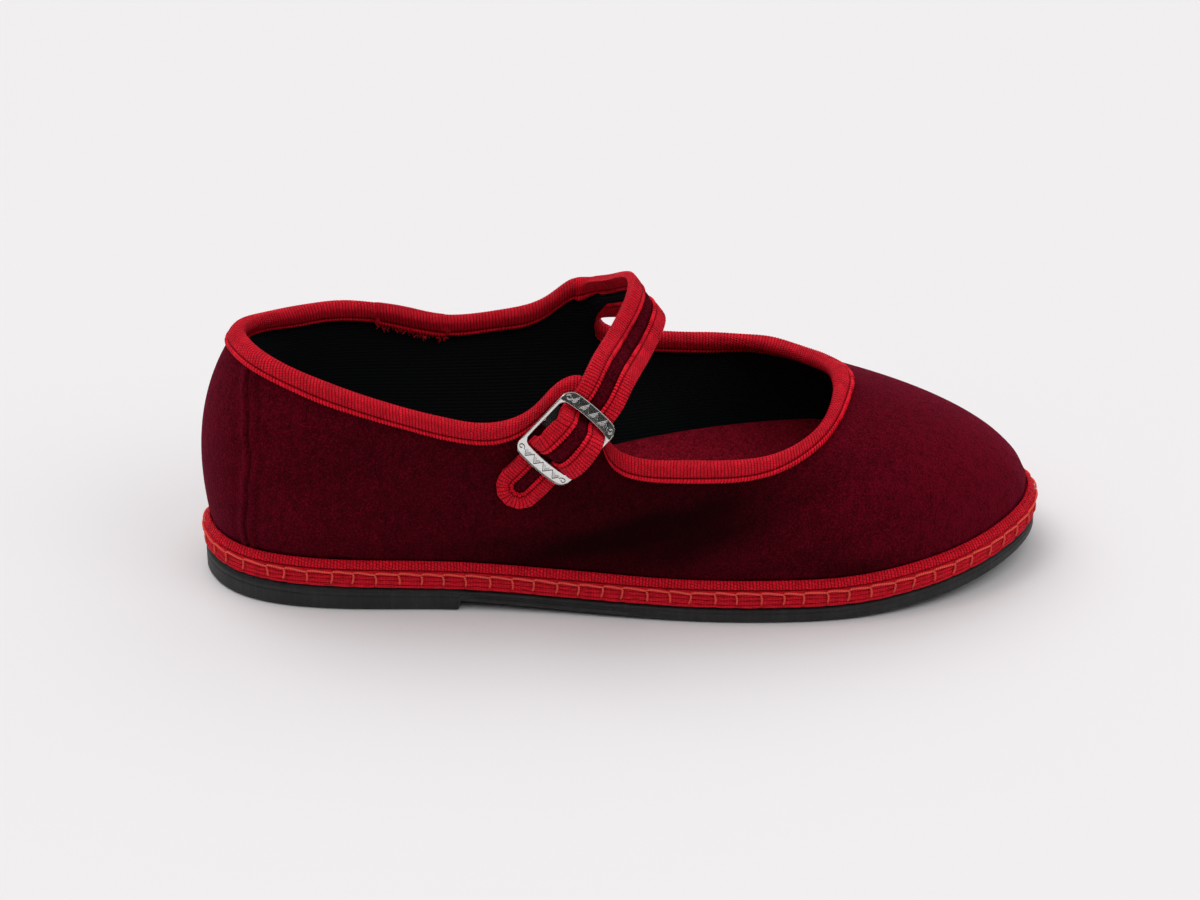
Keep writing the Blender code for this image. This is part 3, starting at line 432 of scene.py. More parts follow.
class Upper:
    """The outer surface of the upper, as ribs from its foot to its rim, at places from 0 to 1 round it."""

    STEPS = 64

    def __init__(self):
        rows = []
        for rib in RIBS:
            around = outline.where(rib.foot_along * SHOE_LENGTH, rib.side)
            rim = shares(rib.rim_along, rib.rim_across, rib.rim_up, height=rib.rim_height)
            rows.append((around, *rim, rib.foot_out, rib.foot_up, rib.rim_out, rib.rim_down))
        rows = np.array(rows)
        after = np.roll(rows, -1, axis=0)
        after[-1, 0] += 1.0
        feet = outline.at(rows[:, 0], UPPER_INSET)[0]
        foot_gap = np.linalg.norm(np.roll(feet, -1, axis=0) - feet, axis=1)
        rim_gap = np.linalg.norm(after[:, 1:4] - rows[:, 1:4], axis=1)
        spans = (foot_gap + rim_gap) / 2
        knots = np.concatenate([[0], np.cumsum(spans)]) / spans.sum()
        rows[:, 0] -= knots[:-1]
        self.curve = Curve(rows, True, spans)
        self.knots = knots
        self.length = spans.sum()
        self.binding_start = knots[SEAM_REAR_RIB] + SEAM_MARGIN / self.length
        self.binding_end = knots[SEAM_FRONT_RIB] - SEAM_MARGIN / self.length
        self.rim_places = np.linspace(0, 1, RIM_SAMPLES)
        fine = self.curve(self.rim_places)
        self.rims = fine[:, 1:4]
        self.rim_travelled = travel(self.rims)
        self.foot_places = fine[:, 0] + self.rim_places

    def ribs(self, s):
        row = self.curve(s % 1.0)
        foot_xy, normal = outline.at(row[:, 0] + s % 1.0, UPPER_INSET)
        foot = np.column_stack([foot_xy, sole_top(foot_xy[:, 0]) + INSOLE_LIFT])
        rim = row[:, 1:4]
        rise = (rim[:, 2] - foot[:, 2])[:, None]
        out = np.column_stack([normal, np.zeros(len(normal))]) * rise
        up = UP * rise
        handles = (
            foot,
            foot + row[:, 4:5] * out + row[:, 5:6] * up,
            rim + row[:, 6:7] * out - row[:, 7:8] * up,
            rim,
        )
        t = np.linspace(0, 1, self.STEPS + 1)[None, :, None]
        a, b, c, d = (h[:, None, :] for h in handles)
        return (1 - t) ** 3 * a + 3 * t * (1 - t) ** 2 * b + 3 * t**2 * (1 - t) * c + t**3 * d

    def even_rims(self, start, end, spacing):
        """Places along the rim from start to end (end may pass 1) at about this spacing."""
        first = np.interp(start, self.rim_places, self.rim_travelled)
        last = np.interp(end % 1.0, self.rim_places, self.rim_travelled)
        if end > 1.0:
            last += self.rim_travelled[-1]
        count = int(round((last - first) / spacing)) + 1
        distance = np.linspace(first, last, count) % self.rim_travelled[-1]
        return np.interp(distance, self.rim_travelled, self.rim_places)

    def lateral_wall(self, x, z):
        ribs = self.ribs(np.linspace(self.knots[4], self.knots[16], 60))
        xs = np.array([np.interp(z, rib[:, 2], rib[:, 0]) for rib in ribs])
        ys = np.array([np.interp(z, rib[:, 2], rib[:, 1]) for rib in ribs])
        return np.array([x, np.interp(x, np.maximum.accumulate(xs), ys), z])


class Skin:
    """The upper's surface at some places round it, as a grid with normals."""

    def __init__(self, s):
        step = 0.0015
        ribs = self.resampled(upper_form.ribs(s))
        ahead = self.resampled(upper_form.ribs(s + step))
        behind = self.resampled(upper_form.ribs(s - step))
        self.grid = ribs
        self.normals = unit(np.cross(ahead - behind, np.gradient(ribs, axis=1)))
        self.total = np.linalg.norm(np.diff(ribs, axis=1), axis=2).sum(axis=1)
        self.s = s

    @staticmethod
    def resampled(ribs):
        steps = np.linalg.norm(np.diff(ribs, axis=1), axis=2)
        travelled = np.concatenate([np.zeros((len(ribs), 1)), np.cumsum(steps, axis=1)], axis=1)
        even = np.linspace(0, 1, ribs.shape[1])
        made = np.empty_like(ribs)
        for i, (rib, far) in enumerate(zip(ribs, travelled)):
            for k in range(3):
                made[i, :, k] = np.interp(even * far[-1], far, rib[:, k])
        return made

    def at(self, share, offset):
        """Points at shares of the rib from foot to rim, this far outside the surface: each is one row, or one
        row for each place."""
        count, steps = self.grid.shape[0], self.grid.shape[1] - 1
        share = np.broadcast_to(share, (count, np.shape(share)[-1]))
        offset = np.broadcast_to(offset, share.shape)
        place = share * steps
        i = np.clip(np.floor(place).astype(int), 0, steps - 1)
        part = (place - i)[..., None]
        rows = np.arange(count)[:, None]
        point = self.grid[rows, i] * (1 - part) + self.grid[rows, i + 1] * part
        near = np.clip(part, 0, 1)
        normal = unit(self.normals[rows, i] * (1 - near) + self.normals[rows, i + 1] * near)
        return point + offset[..., None] * normal

    def below_rim(self, down, offset):
        """Points this far down from the rim."""
        return self.at(1 - np.asarray(down)[None, :] / self.total[:, None], offset)


upper_form = Upper()


class Strap:
    """The strap's own space: distance along it, across it towards the toe, and out from it."""

    def __init__(self):
        self.seat = self.find_seat()
        rim = Skin(upper_form.knots[[SEAM_REAR_RIB, SEAM_FRONT_RIB]])
        ends = rim.below_rim(np.array([0.0]), -WALL / 2)[:, 0]
        faces = rim.below_rim(np.array([0.0]), 0.0)[:, 0]
        seam = ends[1] - ends[0]
        self.root_along = unit(np.cross(seam, (faces - ends).sum(axis=0)))
        middle = ends.mean(axis=0) + STRAP_ROOT_GAP * self.root_along
        rows = [(*middle, *unit(seam), np.linalg.norm(seam) / STRAP_WIDTH)]
        for row in STRAP_ROWS:
            rear_edge = shares(row.rear_along, row.rear_across, row.rear_up)
            front_edge = shares(row.front_along, row.front_across, row.front_up)
            rows.append((*(rear_edge + front_edge) / 2, *unit(front_edge - rear_edge), 1.0))
        for row in SEAT_ROWS:
            spot = self.seat["origin"] + row.along * self.seat["down"] + row.aside * self.seat["across"]
            if row.along > BUCKLE_LENGTH / 4:
                spot = upper_form.lateral_wall(spot[0], spot[2])
            middle = spot + row.lift * self.seat["out"]
            side = unit(self.seat["across"] + row.roll * self.seat["out"])
            rows.append((*middle, *side, row.width))
        rows = np.array(rows)
        spans = np.linalg.norm(np.diff(rows[:, :3], axis=0), axis=1)
        self.curve = Curve(rows, False, spans)
        self.length = spans.sum()

    @staticmethod
    def find_seat():
        x = BUCKLE_ALONG * SHOE_LENGTH
        z = BUCKLE_UP * COLLAR
        wall = upper_form.lateral_wall
        heading = unit(np.array(BUCKLE_HEADING))
        reach = 0.009
        ahead = wall(x + heading[0] * reach, z + heading[1] * reach)
        behind = wall(x - heading[0] * reach, z - heading[1] * reach)
        front = wall(x - heading[1] * reach, z + heading[0] * reach)
        rear = wall(x + heading[1] * reach, z - heading[0] * reach)
        down = unit(ahead - behind)
        out = unit(np.cross(down, front - rear))
        return {"origin": wall(x, z), "down": down, "across": np.cross(out, down), "out": out}

    def points(self, distance, across, out):
        """Grid of points with one row for each distance; across and out are one row, or one for each."""
        at = np.asarray(distance, float) / self.length
        row = self.curve(at)
        step = 0.004
        along = unit(self.curve(at + step)[:, :3] - self.curve(at - step)[:, :3])
        along[at <= 0] = self.root_along
        behind = np.minimum(np.asarray(distance, float), 0.0)[:, None] * self.root_along
        row[:, :3] += behind
        side = row[:, 3:6]
        side = unit(side - (side * along).sum(axis=1)[:, None] * along)
        normal = np.cross(along, side)
        across = np.broadcast_to(across, (len(at), np.shape(across)[-1]))
        out = np.broadcast_to(out, across.shape)
        return (
            row[:, None, :3]
            + (across * row[:, 6:7])[..., None] * side[:, None, :]
            + out[..., None] * normal[:, None, :]
        )


strap_form = Strap()


def buckle_points(along, across, out):
    seat = strap_form.seat
    along, across, out = np.broadcast_arrays(along, across, out)
    lift = FRAME_LIFT - FRAME_TILT * along + out
    return (
        seat["origin"]
        + along[..., None] * seat["down"]
        + across[..., None] * seat["across"]
        + lift[..., None] * seat["out"]
    )


def turned_in(mesh):
    """True if the faces of a closed mesh look inwards."""
    mesh.calc_loop_triangles()
    points = np.empty(len(mesh.vertices) * 3)
    mesh.vertices.foreach_get("co", points)
    corners = np.empty(len(mesh.loop_triangles) * 3, np.int32)
    mesh.loop_triangles.foreach_get("vertices", corners)
    return np.linalg.det(points.reshape(-1, 3)[corners.reshape(-1, 3)]).sum() < 0


def bare_mesh(name, points, faces):
    """A mesh from points measured from the back of the heel, moved to the frame's origin."""
    mesh = bpy.data.meshes.new(name)
    mesh.from_pydata((points - np.array([*centre, 0.0])).tolist(), [], faces)
    return mesh


def dress(name, mesh, uv, finish, replaces=(), smooth_angle=50.0):
    """The piece of a mesh. uv has one row for each corner of its faces, in millimetres."""
    layer = mesh.uv_layers.new(name="UVMap")
    layer.data.foreach_set("uv", np.asarray(uv, np.float32).ravel())
    if turned_in(mesh):
        mesh.flip_normals()
    mesh.shade_smooth()
    mesh.set_sharp_from_angle(angle=np.radians(smooth_angle))
    mesh.materials.append(finish)
    made = bpy.data.objects.new(name, mesh)
    bpy.context.scene.collection.objects.link(made)
    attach(made, "root")
    if replaces:
        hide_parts(*replaces)
    return made


def piece(name, grid, finish, close=True, replaces=(), smooth_angle=50.0):
    """A mesh from a grid of points in which each row is a closed ring. close joins the last row to the first;
    otherwise both end rings are capped."""
    rows, columns = grid.shape[:2]
    index = np.arange(rows * columns).reshape(rows, columns)
    i, k = np.indices((rows if close else rows - 1, columns)).reshape(2, -1)
    next_i, next_k = (i + 1) % rows, (k + 1) % columns
    faces = np.column_stack([index[i, k], index[i, next_k], index[next_i, next_k], index[next_i, k]]).tolist()
    along = travel(np.concatenate([grid, grid[:1]]).mean(axis=1)) * MM
    across = np.array([travel(row) for row in np.concatenate([grid, grid[:, :1]], axis=1)]) * MM
    corners = ((i, k), (i, k + 1), (i + 1, k + 1), (i + 1, k))
    uv = [np.column_stack([along[row], across[row % rows, column]]) for row, column in corners]
    uv = np.stack(uv, axis=1).reshape(-1, 2)
    if not close:
        faces += [index[0].tolist(), index[-1, ::-1].tolist()]
        uv = np.vstack([uv, np.zeros((2 * columns, 2))])
    mesh = bare_mesh(name, grid.reshape(-1, 3), faces)
    return dress(name, mesh, uv, finish, replaces, smooth_angle)


def tubes(name, paths, radius, finish, sides):
    """One mesh of round threads. Each path is an array of points; its ends are drawn in to points."""
    points, faces, uv = [], [], []
    turn = 2 * np.pi * np.arange(sides)[None, :, None] / sides
    base = 0
    for path in paths:
        tangent = unit(np.gradient(path, axis=0))
        side = unit(np.cross(tangent, np.array([0.31, 0.22, 0.92])))
        other = np.cross(tangent, side)
        swell = np.ones((len(path), 1, 1))
        swell[[0, -1]] = 0.45
        ring = np.cos(turn) * side[:, None] + np.sin(turn) * other[:, None]
        points.append((path[:, None] + ring * radius * swell).reshape(-1, 3))
        far = travel(path) * MM
        for i in range(len(path) - 1):
            here = base + i * sides
            for k in range(sides):
                after = (k + 1) % sides
                faces.append((here + k, here + after, here + sides + after, here + sides + k))
                uv += [(far[i], k), (far[i], k + 1), (far[i + 1], k + 1), (far[i + 1], k)]
        end = base + len(path) * sides
        faces += [tuple(range(base + sides - 1, base - 1, -1)), tuple(range(end - sides, end))]
        uv += [(0, 0)] * (2 * sides)
        base = end
    return dress(name, bare_mesh(name, np.vstack(points), faces), uv, finish)


class Value:
    """One output of a node. Arithmetic on it adds nodes."""

    def __init__(self, nodes, socket):
        self.nodes, self.socket = nodes, socket

    def apply(self, operation, *others):
        return self.nodes.out("Math", 0, dict(enumerate((self, *others))), operation=operation)

    def __add__(self, other):
        return self.apply("ADD", other)

    def __sub__(self, other):
        return self.apply("SUBTRACT", other)

    def __mul__(self, other):
        return self.apply("MULTIPLY", other)

    def __truediv__(self, other):
        return self.apply("DIVIDE", other)

    def __pow__(self, other):
        return self.apply("POWER", other)

    def wave(self):
        return self.apply("SINE")

    def ridges(self):
        """From 0 at each whole number to 1 half way between."""
        return (self * math.pi).wave().apply("ABSOLUTE")

    def clamped(self):
        self.socket.node.use_clamp = True
        return self

    def ramp(self, low, high, start=0.0, end=1.0, kind="LINEAR"):
        """From start at low to end at high."""
        links = {"Value": self, "From Min": low, "From Max": high, "To Min": start, "To Max": end}
        return self.nodes.out("MapRange", 0, links, interpolation_type=kind)


class Nodes:
    """Short names for building a tree of nodes."""

    def __init__(self, tree):
        self.tree = tree

    def out(self, kind, output, links=(), **settings):
        """One output of a new node."""
        made = self.tree.nodes.new("ShaderNode" + kind)
        for key, value in settings.items():
            setattr(made, key, value)
        for socket, value in dict(links).items():
            self.put(made.inputs[socket], value)
        return Value(self, made.outputs[output])

    def put(self, socket, value):
        if isinstance(value, Value):
            self.tree.links.new(value.socket, socket)
        elif isinstance(value, tuple) and len(value) == 3 and len(socket.default_value) == 4:
            socket.default_value = (*value, 1.0)
        else:
            socket.default_value = value

    def split(self, vector):
        x = self.out("SeparateXYZ", 0, {0: vector})
        return [Value(self, socket) for socket in x.socket.node.outputs]

    def mix(self, share, a, b):
        return self.out("Mix", 2, {0: share, 6: a, 7: b}, data_type="RGBA")

    def noise(self, scale, detail=2.0, stretch=(1, 1, 1), roughness=0.5):
        """Noise with features about 1 / scale mm in size."""
        scaled = {"Vector": self.out("TexCoord", "Object"), "Scale": tuple(v * MM for v in stretch)}
        links = {"Scale": scale, "Detail": detail, "Roughness": roughness}
        return self.out("TexNoise", "Fac", {"Vector": self.out("Mapping", 0, scaled), **links})

    def bump(self, height, distance, strength=1.0, under=None):
        links = {"Height": height, "Distance": distance, "Strength": strength}
        if under is not None:
            links["Normal"] = under
        return self.out("Bump", 0, links)


class Shader(Nodes):
    """A material."""

    NAMES = {"colour": "Base Color", "roughness": "Roughness", "metallic": "Metallic", "normal": "Normal"}

    def __init__(self, name):
        self.material = bpy.data.materials.new(name)
        self.material.use_nodes = True
        super().__init__(self.material.node_tree)

    def set(self, **values):
        surface = self.tree.nodes["Principled BSDF"]
        for key, value in values.items():
            self.put(surface.inputs[self.NAMES.get(key, key.replace("_", " "))], value)

    def uv(self):
        """Millimetres along and across the piece."""
        return self.split(self.out("UVMap", 0, uv_map="UVMap"))[:2]

    def kept(self, name):
        """A value kept on the mesh."""
        return self.out("Attribute", "Fac", attribute_name=name)


def velvet(name, deep, lit, tint, sheen, dapple):
    """Cut pile. The mesh's nap value says how much each place is brushed towards the light, and on the upper
    it also carries painted light and shade; fine mottling and streaks are added to it, and a soft sheen."""
    s = Shader(name)
    streak = s.noise(0.40, 4.0, (1.0, 1.0, 0.5), 0.7).ramp(0.36, 0.64)
    speck = s.noise(1.3, 3.0, (1, 1, 0.8), 0.75).ramp(0.38, 0.64)
    fibre = s.noise(5.0, 2.0, (1, 1, 0.6), 0.7)
    dots = s.noise(2.1, 1.0, (1, 1, 0.8)).ramp(0.42, 0.68)
    mottle = streak * 0.45 + speck * 0.55 + dots * dots * 1.5
    # amount: the nap value, which on the upper holds painted light and shade, with mottling; it mixes deep to
    # lit colour
    amount = (s.kept("nap") * (mottle * (dapple * 1.4) + (0.94 - dapple))).clamped()
    s.set(colour=s.mix(amount, deep, lit), roughness=0.9)
    s.set(Specular_IOR_Level=0.03, Sheen_Weight=sheen, Sheen_Roughness=0.32, Sheen_Tint=tint)
    s.set(normal=s.bump(fibre, 0.00012, 0.6, s.bump(streak + speck, 0.00020, 0.6)))
    return s.material


def grosgrain(name, dark, bright, pitch=0.98, bead=0.76, cross=0.72):
    """Ribbon with ribs across its width. Each rib is a row of grains, a part of a grain off from the next."""
    s = Shader(name)
    along, across = s.uv()
    loops, groove = s.kept("loops"), s.kept("groove")
    rib = (along + (s.noise(0.30, 2.0) * 0.9 - 0.45)) / pitch
    step = rib.apply("FLOOR")
    grains = across / bead + step * 0.36
    depth = loops * (-0.75 * cross) + cross
    height = rib.ridges() ** 0.60 * (depth * (grains.ridges() ** 0.70 - 1.0) + 1.0)
    cell = s.out("CombineXYZ", 0, {0: step, 1: grains.apply("FLOOR")})
    chance = s.out("TexWhiteNoise", "Value", {"Vector": cell}, noise_dimensions="2D")
    wear = s.noise(0.22, 4.0).ramp(0.30, 0.70)
    # Painted light: the colour follows the grains' height, with painted highlights on their tops and painted
    # shade in the gaps between ribs and grains and, through the groove mask, in the sewn groove; chance and
    # wear vary it at random
    tone = (height.ramp(0.13, 0.62) + loops * 0.12) * (groove * -0.72 + 1.0)
    tone = (tone * (chance * 0.26 + 0.74) * (wear * 0.2 + 0.8)).clamped()
    s.set(colour=s.mix(tone, dark, bright), roughness=tone.ramp(0.0, 1.0, 0.80, 0.50))
    s.set(Specular_IOR_Level=0.10, Sheen_Weight=0.10, Sheen_Roughness=0.5, Sheen_Tint=(1.0, 0.10, 0.20))
    s.set(normal=s.bump(height, 0.00042, 1.0, s.bump(s.noise(6.0, 2.0), 0.00004, 0.5)))
    return s.material


def layered_textile(name, dark, bright):
    """The cloth edge of the midsole: matted threads that run along it."""
    s = Shader(name)
    along, across = s.uv()
    stretched = s.out("CombineXYZ", 0, {0: along * 0.42, 1: across * 2.9})
    threads = s.out("TexNoise", "Fac", {"Vector": stretched, "Scale": 1.0, "Detail": 4.0})
    fibre = s.noise(3.4, 3.0, roughness=0.7)
    weave = (along * 7.4).wave() * 0.5 + 0.5
    amount = (threads.ramp(0.30, 0.56) * fibre.ramp(0.18, 0.54)).clamped()
    amount = (amount * (weave * 0.35 + 0.65)).clamped()
    s.set(colour=s.mix(amount, dark, bright), roughness=0.72, Specular_IOR_Level=0.14)
    s.set(normal=s.bump(threads, 0.0005, 0.8, s.bump(fibre, 0.00014, 0.7)))
    return s.material


def ribbed_lining(name, dark, bright):
    s = Shader(name)
    along, across = s.uv()
    rib = (across * (2 * math.pi / 1.15)).wave()
    twill = ((along + across * 0.6) * 9.0).wave()
    height = twill * 0.15 + (rib * 0.5 + 0.5)
    s.set(colour=s.mix(height.ramp(0.0, 1.1), dark, bright), roughness=0.9)
    s.set(Specular_IOR_Level=0.15, Sheen_Weight=0.12, Sheen_Roughness=0.5, Sheen_Tint=(0.3, 0.5, 0.6))
    s.set(normal=s.bump(height, 0.00025, 0.8, s.bump(s.noise(3.0, 3.0), 0.00008, 0.6)))
    return s.material


def moulded_rubber(name):
    """Matt rubber with upright streaks from its mould, faint scuffs and small pits painted near black as
    painted shade.
    """
    s = Shader(name)
    grain = s.noise(2.2, 4.0, roughness=0.6)
    scuff = s.noise(0.12, 4.0).ramp(0.4, 0.75)
    streak = s.noise(1.1, 4.0, (1.0, 1.0, 0.09), 0.7).ramp(0.48, 0.72)
    pit = s.noise(0.75, 2.0).ramp(0.30, 0.24)
    light = (scuff * 0.5 + streak * 0.6).clamped()
    worn = s.mix(light, (0.0075, 0.0076, 0.0080), (0.027, 0.028, 0.029))
    # The pits are painted near black: painted shade in the pits
    s.set(colour=s.mix(pit, worn, (0.002, 0.002, 0.002)))
    s.set(roughness=grain.ramp(-0.9, 1.6), Specular_IOR_Level=0.42)
    s.set(normal=s.bump(grain, 0.00010, 0.5, s.bump(pit * -1.0 + 1.0, 0.0003, 0.8)))
    return s.material


def silver(name, colour=(0.78, 0.78, 0.76), rough=0.16):
    s = Shader(name)
    wear = s.noise(0.9, 4.0)
    tarnish = s.noise(0.5, 3.0).ramp(0.3, 0.8)
    s.set(colour=s.mix(tarnish, colour, tuple(v * 0.86 for v in colour)), metallic=1.0)
    s.set(roughness=wear.ramp(0.0, 1.0, rough * 0.7, rough * 1.5))
    s.set(normal=s.bump(s.noise(3.0, 2.0), 0.00002, 0.4))
    return s.material


def plain_thread(name, dark, bright):
    s = Shader(name)
    along, across = s.uv()
    tone = (along * 9.0 + across * 2.1).wave() * 0.5 + 0.5
    s.set(colour=s.mix(tone, dark, bright), roughness=0.7, normal=s.bump(tone, 0.00008, 0.6))
    s.set(Specular_IOR_Level=0.15, Sheen_Weight=0.1, Sheen_Roughness=0.4, Sheen_Tint=(1.0, 0.3, 0.25))
    return s.material


def woven_elastic(name):
    s = Shader(name)
    along, across = s.uv()
    height = (along * (2 * math.pi / 0.7)).wave() * (across * (2 * math.pi / 0.9)).wave() * 0.5 + 0.5
    s.set(colour=s.mix(height, (0.004, 0.006, 0.006), (0.022, 0.026, 0.026)), roughness=0.75)
    s.set(normal=s.bump(height, 0.0002, 0.8))
    return s.material


VELVET = velvet(
    "burgundy velvet", (0.0080, 0.0002, 0.0006), (0.148, 0.0021, 0.0115), (0.50, 0.03, 0.11), 0.40, 0.62
)
STRIPE_VELVET = velvet(
    "burgundy stripe velvet", (0.006, 0.0002, 0.0006), (0.110, 0.0020, 0.0085), (0.5, 0.02, 0.09), 0.14, 0.85
)
INSOLE_VELVET = velvet(
    "insole velvet", (0.030, 0.0008, 0.0022), (0.380, 0.0110, 0.0300), (0.6, 0.05, 0.12), 0.25, 0.55
)
RIBBON_REDS = ((0.165, 0.0003, 0.0018), (0.985, 0.0085, 0.0300))
RIBBON = grosgrain("red grosgrain", *RIBBON_REDS)
STRAP_RIBBON = grosgrain("red strap grosgrain", *RIBBON_REDS, 0.92, 0.80, 0.60)
TAPE = grosgrain("red sole tape", (0.150, 0.0003, 0.0016), (0.960, 0.0080, 0.0280), 0.98, 0.86, 0.70)
TEXTILE = layered_textile("layered red textile", (0.290, 0.0008, 0.0045), (0.990, 0.0110, 0.0360))
LINING = ribbed_lining("ribbed lining", (0.0004, 0.0009, 0.0008), (0.0030, 0.0062, 0.0066))
RUBBER = moulded_rubber("moulded black rubber")
SILVER = silver("silver metal")
SILVER_DARK = silver("darkened silver", (0.145, 0.140, 0.130), 0.30)
THREAD = plain_thread("coral thread", (0.62, 0.030, 0.025), (0.990, 0.135, 0.095))
LOOSE_THREAD = plain_thread("loose red thread", (0.25, 0.001, 0.004), (0.90, 0.012, 0.034))
ELASTIC = woven_elastic("black elastic")


def smooth_noise(a, b, seed, count=9):
    """Gentle waves of several directions, from a seed."""
    random = np.random.default_rng(seed)
    total = np.zeros(np.broadcast(a, b).shape)
    for _ in range(count):
        angle, phase = random.uniform(0, 2 * np.pi, 2)
        speed = random.uniform(0.6, 1.6)
        total += np.sin(speed * (a * np.cos(angle) + b * np.sin(angle)) + phase)
    return total / count


def bell(value, middle, width):
    return np.exp(-(((value - middle) / width) ** 2))


def pair(value, apart, width):
    """Two bells, this far to either side of 0."""
    return bell(value, -apart, width) + bell(value, apart, width)


def ripple(at, *waves):
    """A sum of small waves, each given by its height, its length for one radian, and its phase."""
    return sum(height * np.sin(at / length + phase) for height, length, phase in waves)


def seam_distance(x, z):
    """How far a point lies in front of the seam that closes the velvet behind the heel's lateral side."""
    wander = ripple(z, (0.00045, 0.0062, 0), (0.00025, 0.0025, 1))
    return x - HEEL_SEAM_ALONG * SHOE_LENGTH - 0.06 * (z - 0.045) - wander


# Soft creases. along, up: middle, as shares of SHOE_LENGTH and COLLAR; lean: how far it leans forward as it
# rises; width and depth in metres
Crease = namedtuple("Crease", "along up lean width depth")
CREASES = (
    Crease(0.530, 0.450, 0.9, 0.0045, 0.0007),
    Crease(0.585, 0.420, 0.7, 0.0050, 0.0006),
    Crease(0.690, 0.400, 0.5, 0.0060, 0.0006),
    Crease(0.300, 0.450, -0.3, 0.0070, 0.0005),
    Crease(0.160, 0.400, 0.1, 0.0060, 0.0005),
)
CREASE_REACH = 0.016
FAR_SIDE_SHARE = 0.7


def velvet_relief(skin, share):
    """How far the velvet stands out of the last's form: creases, the seam's ridge, the stitches' pull."""
    share = np.broadcast_to(share, (len(skin.s), np.shape(share)[-1]))
    points = skin.at(share, 0.0)
    x, y, z = points[..., 0], points[..., 1], points[..., 2]
    lateral = y < centre[1]
    relief = 0.00022 * smooth_noise(x / 0.011, z / 0.010 + y / 0.02, 3)
    gather = np.sin(skin.s * upper_form.length / 0.0052 * 2 * np.pi + 2.0 * np.sin(skin.s * 60))[:, None]
    relief += 0.00014 * gather * bell(share, 0.0, 0.16) * (x > 0.62 * SHOE_LENGTH)
    relief -= 0.0006 * bell(share, 0.0, 0.05)
    for crease in CREASES:
        up = z - crease.up * COLLAR
        run = (x - crease.along * SHOE_LENGTH) - crease.lean * up
        fade = bell(up, 0.0, CREASE_REACH)
        relief -= crease.depth * bell(run, 0.0, crease.width) * fade * lateral
        relief -= FAR_SIDE_SHARE * crease.depth * bell(run, 0.002, crease.width) * fade * ~lateral
    seam = seam_distance(x, z)
    wobble = 1 + 0.35 * np.sin(z / 0.0021) + 0.2 * np.sin(z / 0.0009)
    beside = 0.00042 * wobble * pair(seam, 0.0011, 0.0007)
    beside -= 0.00050 * bell(seam, 0.0, 0.0005)
    beside -= 0.00025 * pair(seam, 0.0030, 0.0010)
    return relief + beside * near_heel(x, y)


def near_heel(x, y):
    """Where the heel's seam is: the rear of the lateral side."""
    return (y < centre[1]) & (x < SEAM_ZONE * SHOE_LENGTH)


def blend(low, high, value):
    """0 below low, 1 above high, and smooth between them."""
    t = np.clip((np.asarray(value, float) - low) / (high - low), 0.0, 1.0)
    return t * t * (3 - 2 * t)


def even_round(count):
    return np.arange(count) / count


def ring_points(u, inset, height):
    """Points of one ring of the sole: height is one number, or one for each place."""
    xy, _ = outline.at(u, inset)
    return np.column_stack([xy, np.broadcast_to(height, len(xy))])


def spine_beside(u):
    """The sole's spine, cut short at both ends, beside each of these places of its outline."""
    x = outline.at(u)[0][:, 0]
    x = np.clip(x, outline.low[0] + 0.11 * SHOE_LENGTH, outline.high[0] - 0.17 * SHOE_LENGTH)
    both = [[outline.at(outline.where(at, side))[0] for side in ("lateral", "medial")] for at in x]
    return np.array(both).sum(axis=1) / 2


def matched_round(count):
    """Places round the outline in pairs, one lateral and one medial, at one distance from the heel."""
    even = np.arange(1, count) / count
    along = 0.45 * (1 - np.cos(np.pi * even)) / 2 + 0.55 * even
    xs = outline.low[0] + (outline.high[0] - outline.low[0]) * along
    lateral = [outline.where(x, "lateral") for x in xs]
    medial = [outline.where(x, "medial") for x in xs[::-1]]
    return np.array([0.0, *lateral, outline.where(0, "toe"), *medial])


def layer(name, rings, finish, slot, replaces, smooth_angle=40.0):
    """A closed mesh from rings of a layer of the sole: from the middle of its lower face, over its side, to
    the middle of its upper face."""
    count = rings.shape[1]
    half = count // 2
    index = np.arange(rings.shape[0] * count).reshape(rings.shape[:2])
    after = np.roll(index, -1, axis=1)
    faces = np.stack([index[:-1], after[:-1], after[1:], index[1:]], axis=-1).reshape(-1, 4).tolist()
    for ring in (index[0], index[-1]):
        faces.append([ring[0], ring[1], ring[-1]])
        faces += [[ring[k], ring[k + 1], ring[count - k - 1], ring[count - k]] for k in range(1, half - 1)]
        faces.append([ring[half - 1], ring[half], ring[half + 1]])
    mesh = bare_mesh(name, rings.reshape(-1, 3), faces)
    shape = bmesh.new()
    shape.from_mesh(mesh)
    bmesh.ops.recalc_face_normals(shape, faces=shape.faces)
    shape.to_mesh(mesh)
    shape.free()
    corners = np.empty(len(mesh.loops), np.int32)
    mesh.loops.foreach_get("vertex_index", corners)
    around = np.interp(matched[corners % count], outline.around, outline.travelled)
    steps = np.linalg.norm(np.diff(rings, axis=0), axis=2).mean(axis=1)
    over = np.concatenate([[0], np.cumsum(steps)])
    uv = np.column_stack([around, over[corners // count]]) * MM
    return dress(name, mesh, uv, finish, replaces, smooth_angle)


matched = matched_round(SOLE_STATIONS)


# Outsole

